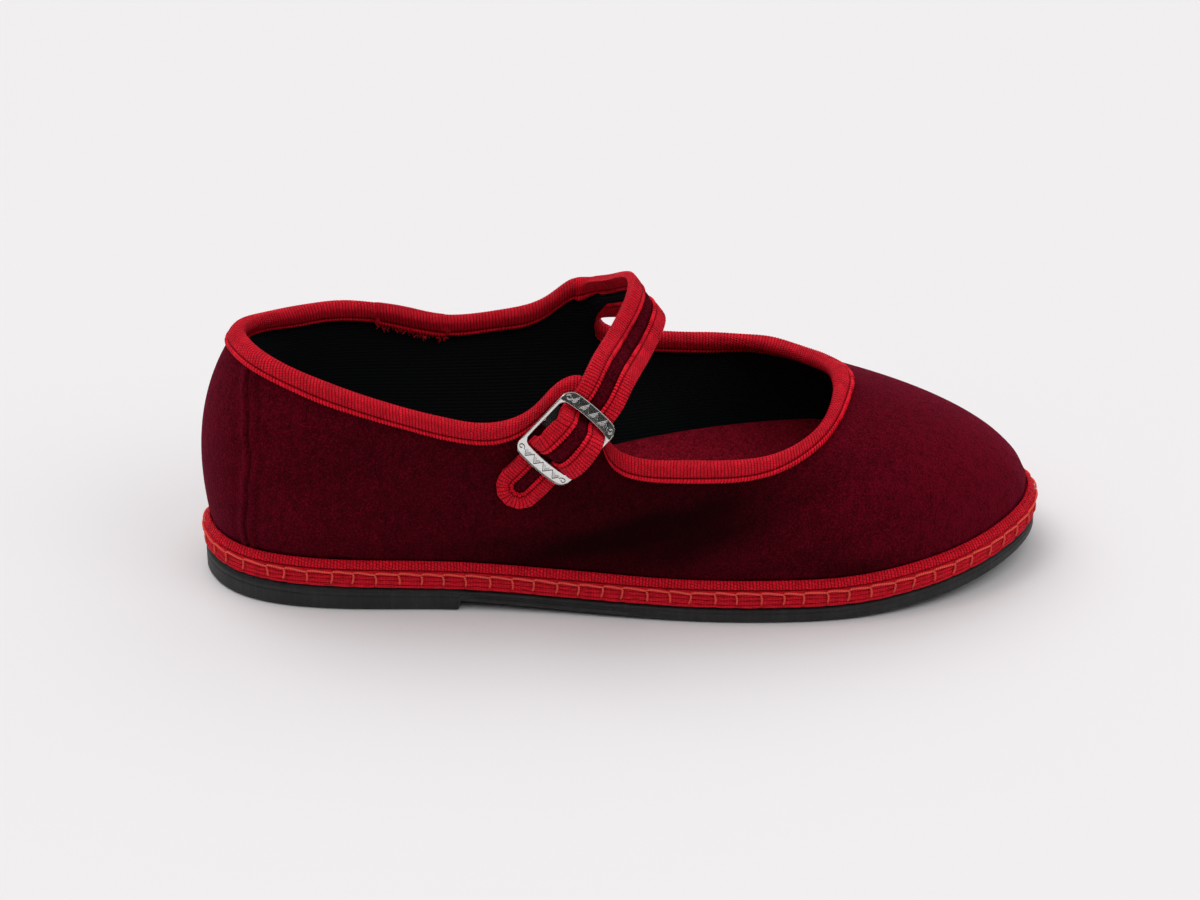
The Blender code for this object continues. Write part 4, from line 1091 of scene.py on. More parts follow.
def rubber_sole():
    xy0, _ = outline.at(matched)
    x0 = xy0[:, 0]
    top, low = sole_top(x0), sole_bottom(x0)
    heel = x0 <= HEEL_END + HEEL_BREAST / 2
    radius = SOLE_EDGE_RADIUS
    flat, _ = outline.at(matched, SOLE_INSET + radius)
    spine = spine_beside(matched)
    rings = []

    def side(inset, height):
        rings.append(ring_points(matched, inset, height))

    def face(share, height):
        inside = spine + (flat - spine) * share
        rings.append(np.column_stack([inside, height(inside)]))

    def tread(inside):
        """The underside, with grooves across it that stop short of its edge."""
        x = inside[:, 0]
        edge = np.linalg.norm(inside - flat, axis=1)
        wave = np.abs(np.sin(np.pi * x / TREAD_PITCH))
        groove = TREAD_DEPTH * blend(0.62, 0.92, wave) * blend(0.0042, 0.0052, edge)
        return np.where(heel, 0.0, low) + groove * (np.abs(x - HEEL_END) > 0.003)

    for share in (0.02, 0.2, 0.4, 0.55, 0.68, 0.78, 0.84, 0.88, 0.92, 0.96):
        face(share, tread)
    for angle in np.radians([0, 25, 50, 75, 90]):
        side(SOLE_INSET + radius * (1 - np.sin(angle)), low + radius * (1 - np.cos(angle)))
    height = top - CLEARANCE - low - radius
    # The lower half of the side stands back a little along the waist, under a faint groove.
    step = blend(HEEL_END + 0.001, HEEL_END + 0.006, x0) * (1 - blend(0.42, 0.62, x0 / SHOE_LENGTH))
    for share in (0.12, 0.3, 0.42, 0.50, 0.56, 0.60, 0.64, 0.70, 0.76, 0.82, 0.87, 0.93):
        inset = SOLE_INSET + SIDE_GROOVE * bell(share, 0.60, 0.045) + 0.0009 * blend(0.78, 1.0, share)
        inset = inset + WAIST_STEP * step * (1 - blend(0.45, 0.56, share)) * blend(0.0, 0.12, share)
        side(inset, low + radius + height * share)
    side(SOLE_INSET + 0.0013, top - CLEARANCE)
    side(SOLE_INSET + 0.0016, top)
    for share in (0.85, 0.5, 0.02):
        face(share, lambda inside: top)
    layer("rubber_sole", np.array(rings), RUBBER, "black_rubber", ("outsole",))


# Midsole and its stitches

def stitch_places():
    """Places of the stitches round the edge, each a little off its even place."""
    random = np.random.default_rng(STITCH_SEED)
    count = int(outline.length / STITCH_PITCH)
    places = np.arange(count) / count + random.uniform(-0.09, 0.09, count) / count
    return np.interp(places * outline.length, outline.travelled, outline.around) % 1.0


# The layers of the edge, from below. height: share of MIDSOLE_THICKNESS; out: how far the layer stands out
Edge = namedtuple("Edge", "height out")
EDGE_LAYERS = (
    Edge(0.02, -0.00080),
    Edge(0.06, -0.00014),
    Edge(0.13, +0.00020),
    Edge(0.22, +0.00004),
    Edge(0.25, -0.00046),
    Edge(0.28, +0.00000),
    Edge(0.34, +0.00014),
    Edge(0.42, +0.00010),
    Edge(0.47, -0.00005),
    Edge(0.50, -0.00052),
    Edge(0.53, -0.00006),
    Edge(0.60, +0.00012),
    Edge(0.68, +0.00006),
    Edge(0.715, -0.00006),
    Edge(0.745, -0.00050),
    Edge(0.775, -0.00004),
    Edge(0.83, +0.00010),
    Edge(0.89, +0.00006),
    Edge(0.94, -0.00012),
    Edge(1.00, -0.00050),
)


def midsole_surface(u, edge, stitches):
    """Points of one layer of the stitched edge."""
    height = edge.height
    distance = np.interp(u, outline.around, outline.travelled)
    wave = ripple(distance, (0.00012, 0.0031, 7 * height), (0.00010, 0.0013, 19 * height))
    pull = np.max([bell(distance, at, 0.0007) for at in stitches], axis=0)
    out = edge.out + wave * (0.3 + height * (1 - height)) - 0.00022 * pull
    rise = 0.00020 * np.sin(distance / 0.0074) * np.sin(np.pi * height)
    base = sole_top(outline.at(u)[0][:, 0])
    return ring_points(u, -out, base + height * MIDSOLE_THICKNESS + rise)


def midsole_edge():
    u = outline.even(EDGE_STATIONS)
    stitches = np.interp(stitch_places(), outline.around, outline.travelled)
    rows = [midsole_surface(u, edge, stitches) for edge in EDGE_LAYERS]
    base = sole_top(outline.at(u)[0][:, 0])
    for inset, height in ((0.0012, 1.0), (0.0060, 1.0), (0.0120, 1.0), (0.0120, 0.06), (0.0050, 0.06)):
        rows.append(ring_points(u, inset, base + height * MIDSOLE_THICKNESS))
    piece("midsole_edge", np.stack(rows, axis=1), TEXTILE, replaces=("midsole",))


def edge_stitches():
    """A thread that runs along under the ribbon and drops over the layers at each stitch."""
    places = np.sort(stitch_places())
    random = np.random.default_rng(SLANT_SEED)
    lift = THREAD_RADIUS * 0.75
    paths = []
    travelled = np.interp(places, outline.around, outline.travelled)
    high = STITCH_HEAD + random.uniform(-0.03, 0.03, len(places))
    slant = random.uniform(-0.0006, 0.0005, len(places))
    for k in range(len(places)):
        after = (k + 1) % len(places)
        end = travelled[after] + (outline.length if after == 0 else 0)
        # Along the top: from the head of this stitch up to the knee of the next
        t = np.linspace(0, 1, 15)
        distance = travelled[k] + (end - travelled[k]) * t
        rise = high[k] + (high[after] - high[k]) * t + 0.075 * np.sin(np.pi * t**0.6) - 0.03 * t
        paths.append(on_edge(distance, rise, lift * (0.7 + 0.6 * np.sin(np.pi * t))))
        t = np.linspace(0, 1, 13)
        distance = travelled[k] + slant[k] * t + 0.0003 * np.sin(np.pi * t)
        rise = high[k] + 0.02 - (high[k] - STITCH_FOOT) * t
        paths.append(on_edge(distance, rise, lift * np.sin(np.pi * np.clip(t, 0.08, 0.93)) ** 0.4))
    tubes("edge_stitches", paths, THREAD_RADIUS, THREAD, 7)


def on_edge(distance, height, out):
    """Points on the stitched edge, this far round it and this far outside its layers."""
    u = np.interp(distance % outline.length, outline.travelled, outline.around)
    base = sole_top(outline.at(u)[0][:, 0])
    return ring_points(u, -(out + 0.00012), base + np.clip(height, 0.03, 0.99) * MIDSOLE_THICKNESS)


def foot_edge(skin):
    """Foot of the upper at each place: its outward direction and its point on the midsole."""
    foot = skin.at(np.zeros(1), 0.0)[:, 0]
    out = skin.at(np.zeros(1), 1.0)[:, 0] - foot
    out[:, 2] = 0.0
    return foot, unit(out)


def sole_tape():
    """Ribbon round the foot of the upper: a narrow ledge on the midsole that turns up against the velvet."""
    s = even_round(TAPE_STATIONS)
    skin = Skin(s)
    foot, out = foot_edge(skin)
    edge = UPPER_INSET - 0.0003
    distance = s * upper_form.length
    wave = ripple(distance, (0.00010, 0.0041, 0), (0.00008, 0.0017, 1))[:, None]
    grain = (0.00007 * np.sin(2 * np.pi * distance / GRAIN_PITCH))[:, None]
    base = foot + UP * CLEARANCE / 2
    rise = RIBBON_RISE / skin.total[:, None]

    def ledge(reach, height, ripple=0.0):
        return base + out * reach + UP * height + out * ripple

    def leaf(share, lift, ripple=0.0):
        return skin.at(rise * share, CLEARANCE + lift)[:, 0] + out * ripple

    section = [
        leaf(0.1, 0.0) + UP * CLEARANCE,
        ledge(edge * 0.5, 0.0),
        ledge(edge - 0.0002, 0.0),
        ledge(edge + 0.0001, 0.00025, grain),
        ledge(edge - 0.0001, 0.0007, wave + grain),
        ledge(edge * 0.72 + 0.0002, 0.00125, wave + grain),
        ledge(edge * 0.46 + 0.0003, 0.0019, grain),
        leaf(0.78, 0.00085, wave + grain),
        leaf(0.95, 0.00075, grain),
        leaf(1.04, 0.00045, grain),
        leaf(1.02, 0.0),
        leaf(0.6, 0.0),
    ]
    piece("sole_tape", np.stack(section, axis=1), TAPE, replaces=("midsole_ribbon",))


# Insole

def insole_pad():
    xy0, _ = outline.at(matched)
    floor = sole_top(xy0[:, 0]) + INSOLE_LIFT
    cup = insole_cup(xy0[:, 0])
    tall = INSOLE_THICKNESS + cup
    top = floor + tall
    spine = spine_beside(matched)
    inner = UPPER_INSET + WALL + 4 * CLEARANCE

    def ring(inset, height):
        return ring_points(matched, inset + lean(matched, height - floor), height)

    bottom = ring(inner, floor)
    rings = [np.column_stack([spine + (bottom[:, :2] - spine) * share, floor]) for share in (0.02, 0.6)]
    rings.append(bottom)
    rings += [ring(inner, floor + tall * share) for share in (0.3, 0.6, 0.85)]
    for inset, down in ((0.0001, 0.0007), (0.0005, 0.0002), (0.0011, 0.0)):
        rings.append(ring(inner + inset, top - down))
    for inset, share in ((0.0025, 0.93), (0.0045, 0.77), (0.0075, 0.50), (0.0105, 0.27), (0.0135, 0.12)):
        rings.append(ring(inner + inset, floor + INSOLE_THICKNESS + cup * share))
    last = rings[-1]
    for share in (0.9, 0.78, 0.64, 0.5, 0.36, 0.22, 0.1, 0.02):
        xy = spine + (last[:, :2] - spine) * share
        # The middle keeps the height of the sole under it.
        height = sole_top(xy[:, 0]) + INSOLE_LIFT + INSOLE_THICKNESS + cup * 0.12 * share**2
        rings.append(np.column_stack([xy, height]))
    rings = np.array(rings)
    relief = 0.00018 * smooth_noise(rings[..., 0] / 0.009, rings[..., 1] / 0.007, 21)
    rings[7:, :, 2] += relief[7:] - 0.0001
    made = layer("insole_pad", rings, INSOLE_VELVET, "insole_velvet", ("insole",), 60.0)
    value = 0.62 + 0.22 * smooth_noise(rings[..., 0] / 0.012, rings[..., 1] / 0.008, 43, 12)
    keep(made, "nap", np.clip(value, 0.0, 1.0))


def lean(u, rise):
    """How much further in than its foot the wall is, this high over its foot and beside these places."""
    s = np.interp(u % 1.0, upper_form.foot_places, upper_form.rim_places)
    ribs = upper_form.ribs(s)
    xy, normal = outline.at(u, UPPER_INSET)
    made = np.zeros(len(u))
    for i, rib in enumerate(ribs):
        wall = np.array([np.interp(rib[0, 2] + rise[i], rib[:, 2], rib[:, k]) for k in (0, 1)])
        made[i] = max(0.0, float(np.dot(xy[i] - wall, normal[i])) * 1.25)
    return made


# Upper

def upper_velvet():
    s = even_round(VELVET_STATIONS)
    skin = Skin(s)
    outer = np.concatenate([np.linspace(0, 0.9, 40), np.linspace(0.92, 1.0, 8)])
    calm = blend(0.0, 0.0055, (1 - outer)[None, :] * skin.total[:, None])
    relief = velvet_relief(skin, outer) * calm
    face = skin.at(outer, relief)
    back = skin.at(np.linspace(1.0, 0.0, 14), -VELVET_THICKNESS)
    grid = np.concatenate([face, back], axis=1)
    made = piece("upper_velvet", grid, VELVET, replaces=("upper",), smooth_angle=70.0)
    # The nap value holds painted light and shade as well as brushed-nap tone
    keep(made, "nap", nap_and_painted_light(grid))


# Where the velvet is painted lighter or darker: partly brushed nap, partly painted light and shade (lit tops
# of toe, vamp and heel, a brighter toe edge as painted sheen, painted shade in dark patches low on the side
# below the buckle). along, up: middle, as shares of SHOE_LENGTH and COLLAR; wide, high: reach in metres;
# slope: how much the patch rises for each metre along; amount: lighter if above 0
NapAndLightPatch = namedtuple("NapAndLightPatch", "along up wide high slope amount")
NAP_AND_PAINTED_LIGHT = (
    NapAndLightPatch(0.900, 0.45, 0.045, 0.040, 0.0, +0.34),
    NapAndLightPatch(0.990, 0.32, 0.018, 0.018, 0.0, +0.22),
    NapAndLightPatch(0.780, 0.62, 0.030, 0.022, -0.4, +0.14),
    NapAndLightPatch(0.040, 0.60, 0.026, 0.040, 0.0, +0.24),
    NapAndLightPatch(0.480, 0.34, 0.050, 0.006, 0.38, -0.26),
    NapAndLightPatch(0.600, 0.36, 0.045, 0.007, 0.45, -0.24),
    NapAndLightPatch(0.520, 0.50, 0.060, 0.022, 0.0, -0.12),
    NapAndLightPatch(0.350, 0.30, 0.040, 0.005, 0.20, -0.12),
    NapAndLightPatch(0.775, 0.22, 0.014, 0.004, 0.1, -0.34),
    NapAndLightPatch(0.730, 0.30, 0.020, 0.004, 0.3, -0.14),
    NapAndLightPatch(0.830, 0.36, 0.014, 0.012, -0.6, -0.12),
    NapAndLightPatch(0.690, 0.42, 0.018, 0.010, 0.4, +0.10),
    NapAndLightPatch(0.260, 0.50, 0.030, 0.020, 0.2, +0.08),
)


def nap_and_painted_light(grid):
    """How light the velvet is painted at each point, from 0 to 1: how far the pile is brushed towards the
    light, with painted light and shade mixed in.
    """
    x, y, z = grid[..., 0], grid[..., 1], grid[..., 2]
    value = 0.36 + 0.16 * smooth_noise(x / 0.016, z / 0.011 + y / 0.03, 41, 12)
    value += 0.10 * smooth_noise(x / 0.005, z / 0.004 + y / 0.01, 42, 12)
    # Patches of brushed nap and of painted light and shade
    for patch in NAP_AND_PAINTED_LIGHT:
        along = x - patch.along * SHOE_LENGTH
        up = z - patch.up * COLLAR - patch.slope * along
        value += patch.amount * np.exp(-((along / patch.wide) ** 2) - (up / patch.high) ** 2)
    # The heel's seam: darker along its line, painted shade in the groove beside it and painted highlights on
    # its ridges
    seam = seam_distance(x, z)
    near = near_heel(x, y)
    value -= near * (0.34 * bell(seam, 0.0, 0.0006) + 0.16 * bell(seam, 0.0032, 0.0009))
    value += near * 0.12 * pair(seam, 0.0013, 0.0006)
    return np.clip(value, 0.02, 1.0)


def keep(made, name, value):
    """Keeps a value on the mesh, one number a point, for its material to read."""
    store = made.data.attributes.new(name, "FLOAT", "POINT")
    store.data.foreach_set("value", np.asarray(value, np.float32).ravel())


def lining():
    s = even_round(LINING_STATIONS)
    skin = Skin(s)
    inner = np.concatenate([np.linspace(0.0, 0.5, 16), np.linspace(0.52, 1.0, 20)])
    points = skin.at(inner, 0.0)
    wave = 0.00010 * smooth_noise(points[..., 0] / 0.02, points[..., 2] / 0.013, 5)
    face = skin.at(inner, -WALL + 0.0001 + wave)
    back = skin.at(np.linspace(1.0, 0.0, 8), -VELVET_THICKNESS - 0.00008)
    piece("lining", np.concatenate([face, back], axis=1), LINING, smooth_angle=70.0)


def rounded(profile):
    """An open row of points with its corners cut, its two ends kept."""
    points = np.array(profile, float)
    a, b = points[:-1], points[1:]
    cut = np.stack([0.75 * a + 0.25 * b, 0.25 * a + 0.75 * b], axis=1).reshape(-1, 2)
    return np.vstack([points[:1], cut, points[-1:]])


def ribbon_profile(width, outside, inside, thick, head, lip, groove):
    """Section of a folded ribbon, as distance in from its fold and height over the middle of what it wraps:
    from the edge of its outer leaf, over the fold, to the edge of its inner leaf, and back inside. Near each
    edge it has a sewn groove."""
    middle, half = (outside + inside) / 2, (outside - inside) / 2
    leaf = (
        (width - 0.0001, 0.0),
        (width + 0.0001, thick * 0.45),
        (width - lip * 0.22, thick + groove * 0.6),
        (width - lip * 0.72, thick + groove * 0.9),
        (width - lip, thick - groove * 2.2),
        (width - lip * 1.28, thick + groove * 0.8),
        (width * 0.45, thick + groove * 0.9),
        (width * 0.16, thick + groove * 0.5),
        (-0.0002, thick * 0.8),
    )
    fold = ((-head, middle + half * 0.55), (-head * 1.12, middle), (-head, middle - half * 0.55))
    shown = [(down, outside + rise) for down, rise in leaf]
    shown += fold
    shown += [(down, inside - rise) for down, rise in reversed(leaf)]
    shown = rounded(shown)
    hidden = ((width * 0.9, inside), (0.0, inside), (0.0, outside), (width * 0.9, outside))
    profile = np.vstack([shown, hidden])
    visible = np.zeros(len(profile))
    visible[1 : len(shown) - 1] = 1.0
    return profile, visible


def looped(down, width, lip):
    """1 on the looped edge of a ribbon and 0 above its groove."""
    return blend(width - lip, width - lip + 0.0003, down)


def mark_edges(made, profile, visible, width, lip):
    """Keeps on a ribbon's mesh where its looped edges and its sewn grooves lie."""
    rows = len(made.data.vertices) // len(profile)
    keep(made, "loops", np.tile(looped(profile[:, 0], width, lip) * visible, rows))
    keep(made, "groove", np.tile(bell(profile[:, 0], width - lip, 0.00024) * visible, rows))


def topline_profile():
    thick = BINDING_THICKNESS
    inside = -WALL - CLEARANCE
    return ribbon_profile(
        BINDING_WIDTH, CLEARANCE, inside, thick, CLEARANCE + thick, BINDING_LIP, BINDING_GROOVE
    )


def topline_grid(s, extra=0.0):
    """Sections of the topline's ribbon at these places of the rim, with its ribs, loops and small waves."""
    skin = Skin(s)
    profile, visible = topline_profile()
    down = np.broadcast_to(profile[:, 0], (len(s), len(profile))).copy()
    offset = np.broadcast_to(profile[:, 1], (len(s), len(profile))).copy()
    out = np.sign(profile[:, 1] + WALL / 2)
    far = np.interp(s % 1.0, upper_form.rim_places, upper_form.rim_travelled)
    grain = np.sin(2 * np.pi * far / GRAIN_PITCH)[:, None]
    edge = bell(profile[:, 0], BINDING_WIDTH, 0.0006) * visible
    down += 0.00018 * grain * edge
    loops = looped(profile[:, 0], BINDING_WIDTH, BINDING_LIP)
    offset += out * visible * ((0.00007 + 0.00011 * loops) * grain + extra)
    wander = ripple(far, (0.00016, 0.019, 0), (0.00012, 0.0071, 2))
    down += wander[:, None] * blend(0.002, 0.005, profile[:, 0]) * visible
    swell = ripple(far, (0.00010, 0.0052, 0), (0.00008, 0.0029, 1))
    offset += out * swell[:, None] * visible
    down += extra * blend(0.002, 0.005, profile[:, 0])
    return skin.at(1 - down / skin.total[:, None], offset)


def topline_ribbon():
    """Ribbon folded over the rim, with a sewn groove near its lower edge and a looped edge."""
    s = upper_form.even_rims(upper_form.binding_start, 1.0 + upper_form.binding_end, GRAIN_PITCH / 3)
    grid = topline_grid(s)
    made = piece("topline_ribbon", grid, RIBBON, False, ("topline_binding",))
    mark_edges(made, *topline_profile(), BINDING_WIDTH, BINDING_LIP)


def ribbon_join():
    """Where the ends of the topline's ribbon overlap on the medial side, with threads come loose."""
    x, y = upper_form.rims[:, 0], upper_form.rims[:, 1]
    overlap = (y > centre[1]) & (np.abs(x - JOIN_MIDDLE) < JOIN_LENGTH / 2)
    inside = upper_form.rim_places[overlap]
    s = upper_form.even_rims(inside.min(), inside.max(), GRAIN_PITCH / 3)
    rows = len(s)
    grid = topline_grid(s, JOIN_RISE)
    ends = np.minimum(np.arange(rows), np.arange(rows)[::-1])
    shrink = (1 - blend(0, 3, ends))[:, None, None] * 0.5
    grid = grid + (topline_grid(s) - grid) * shrink
    made = piece("ribbon_join", grid, RIBBON, close=False)
    mark_edges(made, *topline_profile(), BINDING_WIDTH, BINDING_LIP)
    random = np.random.default_rng(JOIN_SEED)
    paths = []
    t = np.linspace(0, 1, 7)[:, None]
    for k in range(LOOSE_THREADS):
        along_edge = k < EDGE_THREADS
        row = int(random.integers(0, rows) if along_edge else random.choice([0, 1, rows - 2, rows - 1]))
        column = JOIN_EDGE_COLUMN + int(random.integers(0, 3) if along_edge else random.integers(-12, 1))
        heading = unit(grid[min(row + 3, rows - 1), column] - grid[max(row - 3, 0), column])
        heading *= random.choice([-1, 1]) * random.uniform(0.1, 0.9)
        fall = np.array([0.0, -0.25, -1.0]) * random.uniform(0.3, 1.0)
        length = random.uniform(0.0006, 0.0019) * (1.0 if k % 9 else 1.7)
        curl = random.normal(0, 0.00035, 3)
        run = t * length * (0.5 * heading + 0.8 * fall)
        paths.append(grid[row, column] + run + np.sin(t * np.pi) * curl + t**2 * curl)
    tubes("loose_threads", paths, LOOSE_THREAD_RADIUS, LOOSE_THREAD, 5)


# Strap

def strap_sections():
    """Distances along the strap, with its half width and the stripe's half width at each."""
    half = STRAP_WIDTH / 2
    tip = strap_form.length - half
    tuck = STRAP_RIBBON_THICKNESS + CLEARANCE
    reach = half - tuck
    straight = np.linspace(-0.0022, tip, int(tip / STRAP_STEP))
    turned = tip + reach * np.sin(np.radians(np.linspace(0, 90, 34)[1:]))
    places = np.concatenate([straight, turned])
    past = np.clip(places - tip, 0.0, reach)
    edge = np.maximum(np.sqrt(np.maximum(reach**2 - past**2, 0.0)), reach * 0.02)
    panel = STRAP_PANEL_WIDTH / 2
    panel = np.sqrt(np.maximum(panel**2 - past**2, 0.0))
    return places, edge, panel


def strap_velvet_and_lining():
    """The strap's two faces. Between its ribbons the velvet stands up in a stripe."""
    places, edge, panel = strap_sections()
    thin, full = STRAP_CORE_THICKNESS / 2, STRAP_PANEL_THICKNESS / 2
    rows = np.array([-1, -0.7, -0.4])
    crown = np.linspace(-1, 1, 13)
    narrow = np.maximum(panel, edge * 0.1)[:, None]
    edge = edge[:, None]
    rear = np.minimum(edge * rows, -narrow * 1.02)
    front = np.maximum(-edge * rows[::-1], narrow * 1.02)
    across = np.concatenate([rear, narrow * crown, front, edge * np.linspace(1, -1, 8)], axis=1)
    present = blend(0.0, STRAP_PANEL_WIDTH / 5, panel)[:, None]
    rise = (full - thin) * np.sqrt(np.maximum(1 - np.abs(crown) ** 3, 0.0)) * present
    nap = 0.00006 * smooth_noise(places[:, None] / 0.0015, crown[None, :] * 1.7, 31, 12)
    flat = np.full((len(places), 3), thin)

    def sheet(raised, back):
        return np.concatenate([flat, thin + raised, flat, np.full((len(places), 8), back)], axis=1)

    velvet_grid = strap_form.points(places, across, sheet(rise + nap * present, -0.00004))
    made = piece(
        "strap_velvet", velvet_grid, STRIPE_VELVET, False, ("strap",), smooth_angle=60.0
    )
    keep(made, "nap", np.full(velvet_grid.shape[:2], 0.62))
    lining_grid = strap_form.points(places, across, -sheet(rise * 0.85, 0.00012))
    piece("strap_lining", lining_grid, LINING, close=False, smooth_angle=60.0)


def bridge(first, before, last, after, steps):
    """Sections between two, leaving each the way its neighbour says."""
    gap = np.linalg.norm(last - first, axis=1)[:, None]
    away = unit(first - before) * gap
    towards = unit(after - last) * gap
    t = np.linspace(0, 1, steps + 2)[1:-1, None, None]
    return (
        (2 * t**3 - 3 * t**2 + 1) * first
        + (t**3 - 2 * t**2 + t) * away
        + (3 * t**2 - 2 * t**3) * last
        + (t**3 - t**2) * towards
    )


def strap_ribbon():
    """One ribbon folded over the strap's rear edge, pleated round its tip, and back along its front edge.
    Both of its ends grow out of the topline's ribbon."""
    half = STRAP_WIDTH / 2
    thick = STRAP_RIBBON_THICKNESS
    inner = STRAP_CORE_THICKNESS / 2 + CLEARANCE
    reach = half - STRAP_PANEL_WIDTH / 2 - CLEARANCE
    tip = strap_form.length - half
    profile, visible = ribbon_profile(reach, inner, -inner, thick, 0.0, STRAP_LIP, STRAP_GROOVE)
    profile[:, 0] = np.maximum(profile[:, 0], 0.0)
    down, height = profile[:, 0], profile[:, 1]
    out = np.sign(height)
    straight = np.arange(STRAP_JOIN, tip, GRAIN_PITCH / 3)
    grain = np.sin(2 * np.pi * straight / GRAIN_PITCH)[:, None]
    loops = looped(down, reach, STRAP_LIP)
    lift = height + out * (0.00007 + 0.00009 * loops) * grain * visible
    edge_wave = (0.00012 * grain + 0.00010 * np.sin(straight / 0.0043)[:, None]) * bell(down, reach, 0.0008)
    rear = strap_form.points(straight, -(half - down) + edge_wave, lift)
    front = strap_form.points(straight[::-1], half - down - edge_wave[::-1], lift[::-1])
    turns = np.linspace(-np.pi / 2, np.pi / 2, 150)[1:-1]
    pleat = np.sin(turns * TIP_PLEATS)[:, None]
    radius = half - down[None, :] + 0.00010 * pleat * visible
    lift = height + out * 0.00020 * pleat * bell(down, reach * 0.75, 0.0030) * visible
    lift = lift + out * 0.00006 * np.sin(turns * half / GRAIN_PITCH * 2 * np.pi)[:, None] * visible
    turned = strap_turn(tip + radius * np.cos(turns)[:, None], radius * np.sin(turns)[:, None], lift)
    step = GRAIN_PITCH / 2 / upper_form.length
    start, end = upper_form.binding_start, upper_form.binding_end
    collar, beyond = topline_grid(np.array([start, start + step]))
    throat, short = topline_grid(np.array([end, end - step]))
    rise = bridge(collar, beyond, rear[0], rear[1], 30)
    fall = bridge(throat, short, front[-1], front[-2], 40)[::-1]
    grid = np.concatenate([collar[None], rise, rear, turned, front, fall, throat[None]], axis=0)
    made = piece("strap_ribbon", grid, STRAP_RIBBON, False, ("strap_binding",))
    mark_edges(made, profile, visible, reach, STRAP_LIP)


def strap_turn(distance, across, out):
    """Points of the strap where each has a distance of its own."""
    shape = distance.shape
    flat = strap_form.points(distance.ravel(), across.reshape(-1, 1), out.reshape(-1, 1))
    return flat.reshape(*shape, 3)


# Buckle

def rounded_frame(length, width, corner):
    """A rectangle with round corners whose two ends bow outwards, at even steps."""
    points = []
    for turn, sign_x, sign_y in ((0, 1, 1), (90, -1, 1), (180, -1, -1), (270, 1, -1)):
        middle = np.array([sign_x * (length / 2 - corner), sign_y * (width / 2 - corner)])
        for angle in np.radians(np.linspace(turn, turn + 90, 24)):
            points.append(middle + corner * np.array([np.cos(angle), np.sin(angle)]))
        after = np.radians(turn + 90)
        heading = np.array([-np.sin(after), np.cos(after)])
        side = (length if turn in (0, 180) else width) - 2 * corner
        points += [points[-1] + heading * side * share for share in np.arange(1, 40) / 40]
    points = np.array(points)
    push = BUCKLE_BOW * np.maximum(0.0, 1 - (2 * points[:, 1] / width) ** 2)
    points[:, 0] += np.sign(points[:, 0]) * push * np.minimum(1.0, np.abs(points[:, 0]) / (length / 4))
    return finer(points, 3)


def engraving(t, w):
    """How deep the ornament is cut: t runs along an end bar from -1 to 1, w across it from 0 outside to 1
    inside. Zigzag triangles with strokes beside them, and a small scroll at each end."""
    phase = t * TEETH / 2 + 0.5
    zigzag = TOOTH_FOOT + TOOTH_HEIGHT * 2 * np.abs(phase - np.floor(phase + 0.5))
    cut = bell(w, zigzag, 0.042)
    for shift in (0.16, 0.30):
        cut = np.maximum(cut, 0.8 * bell(w, zigzag + shift, 0.030) * blend(0.0, 0.12, 0.80 - w))
    cut = cut * blend(0.0, 0.06, TEETH_END - np.abs(t))
    for end in (-1, 1):
        x, y = (t - end * SCROLL_MIDDLE) * 9.0, (w - 0.5) * 4.3
        radius, angle = np.hypot(x, y), np.arctan2(y, x * end)
        turn = (radius - 0.25 - 0.13 * (angle + np.pi)) / 0.12
        cut = np.maximum(cut, np.exp(-(turn**2)) * (radius < 1.35))
    return cut * blend(0.04, 0.10, w) * blend(0.04, 0.10, 1 - w)


def buckle_metal():
    inner_length = BUCKLE_LENGTH - 2 * BUCKLE_END_BAR
    inner_width = BUCKLE_WIDTH - 2 * BUCKLE_SIDE_BAR
    outer = rounded_frame(BUCKLE_LENGTH, BUCKLE_WIDTH, BUCKLE_CORNER)
    inner = rounded_frame(inner_length, inner_width, BUCKLE_INNER_CORNER)
    half = BUCKLE_THICKNESS / 2
    steps = np.concatenate([[0.03, 0.06, 0.09, 0.12], np.linspace(0.14, 0.86, 34), [0.88, 0.91, 0.94, 0.97]])
    across = outer[:, None] + (inner - outer)[:, None] * steps[None, :, None]
    from_middle = np.abs(across[..., 0])
    on_end = from_middle > inner_length / 2 + 0.0002
    t = across[..., 1] / (BUCKLE_WIDTH / 2)
    bow = BUCKLE_BOW * np.maximum(0.0, 1 - t**2)
    w = np.clip((BUCKLE_LENGTH / 2 + bow - from_middle) / BUCKLE_END_BAR, 0, 1)
    cut = engraving(t, w) * on_end
    dome = np.sqrt(np.maximum(1 - (2 * steps - 1) ** 6, 0.0))
    rim = 0.00009 * (bell(steps, 0.07, 0.035) + bell(steps, 0.93, 0.035))
    drop = END_BAR_SLOPE * BUCKLE_END_BAR * (1 - w) * on_end
    drop = drop * blend(inner_length / 2 - 0.001, inner_length / 2 + 0.001, from_middle)
    top = half * 0.35 + half * 0.62 * dome + rim - ENGRAVED_DEPTH * cut - drop
    face = buckle_points(across[..., 0], across[..., 1], top)
    under = []
    for share, height in ((1, 0.3), (1, -0.6), (0.97, -1), (0.03, -1), (0, -0.6), (0, 0.3)):
        ring = inner * share + outer * (1 - share)
        under.append(buckle_points(ring[:, 0], ring[:, 1], np.array(half * height)))
    grid = np.concatenate([face, np.stack(under, axis=1)], axis=1)
    made = piece("buckle_metal", grid, SILVER, replaces=("buckle",), smooth_angle=45.0)
    made.data.materials.append(SILVER_DARK)
    dark = np.zeros(grid.shape[:2])
    dark[:, : len(steps)] = cut
    dark = dark + np.roll(dark, -1, axis=0)
    mean = (dark + np.roll(dark, -1, axis=1)) / 4
    made.data.polygons.foreach_set("material_index", (mean.ravel() > 0.42).astype(np.int32))


def finer(points, times):
    """A closed row of points with this many times as many."""
    after = np.roll(points, -1, axis=0)
    share = np.arange(times)[None, :, None] / times
    return (points[:, None] * (1 - share) + after[:, None] * share).reshape(-1, 2)


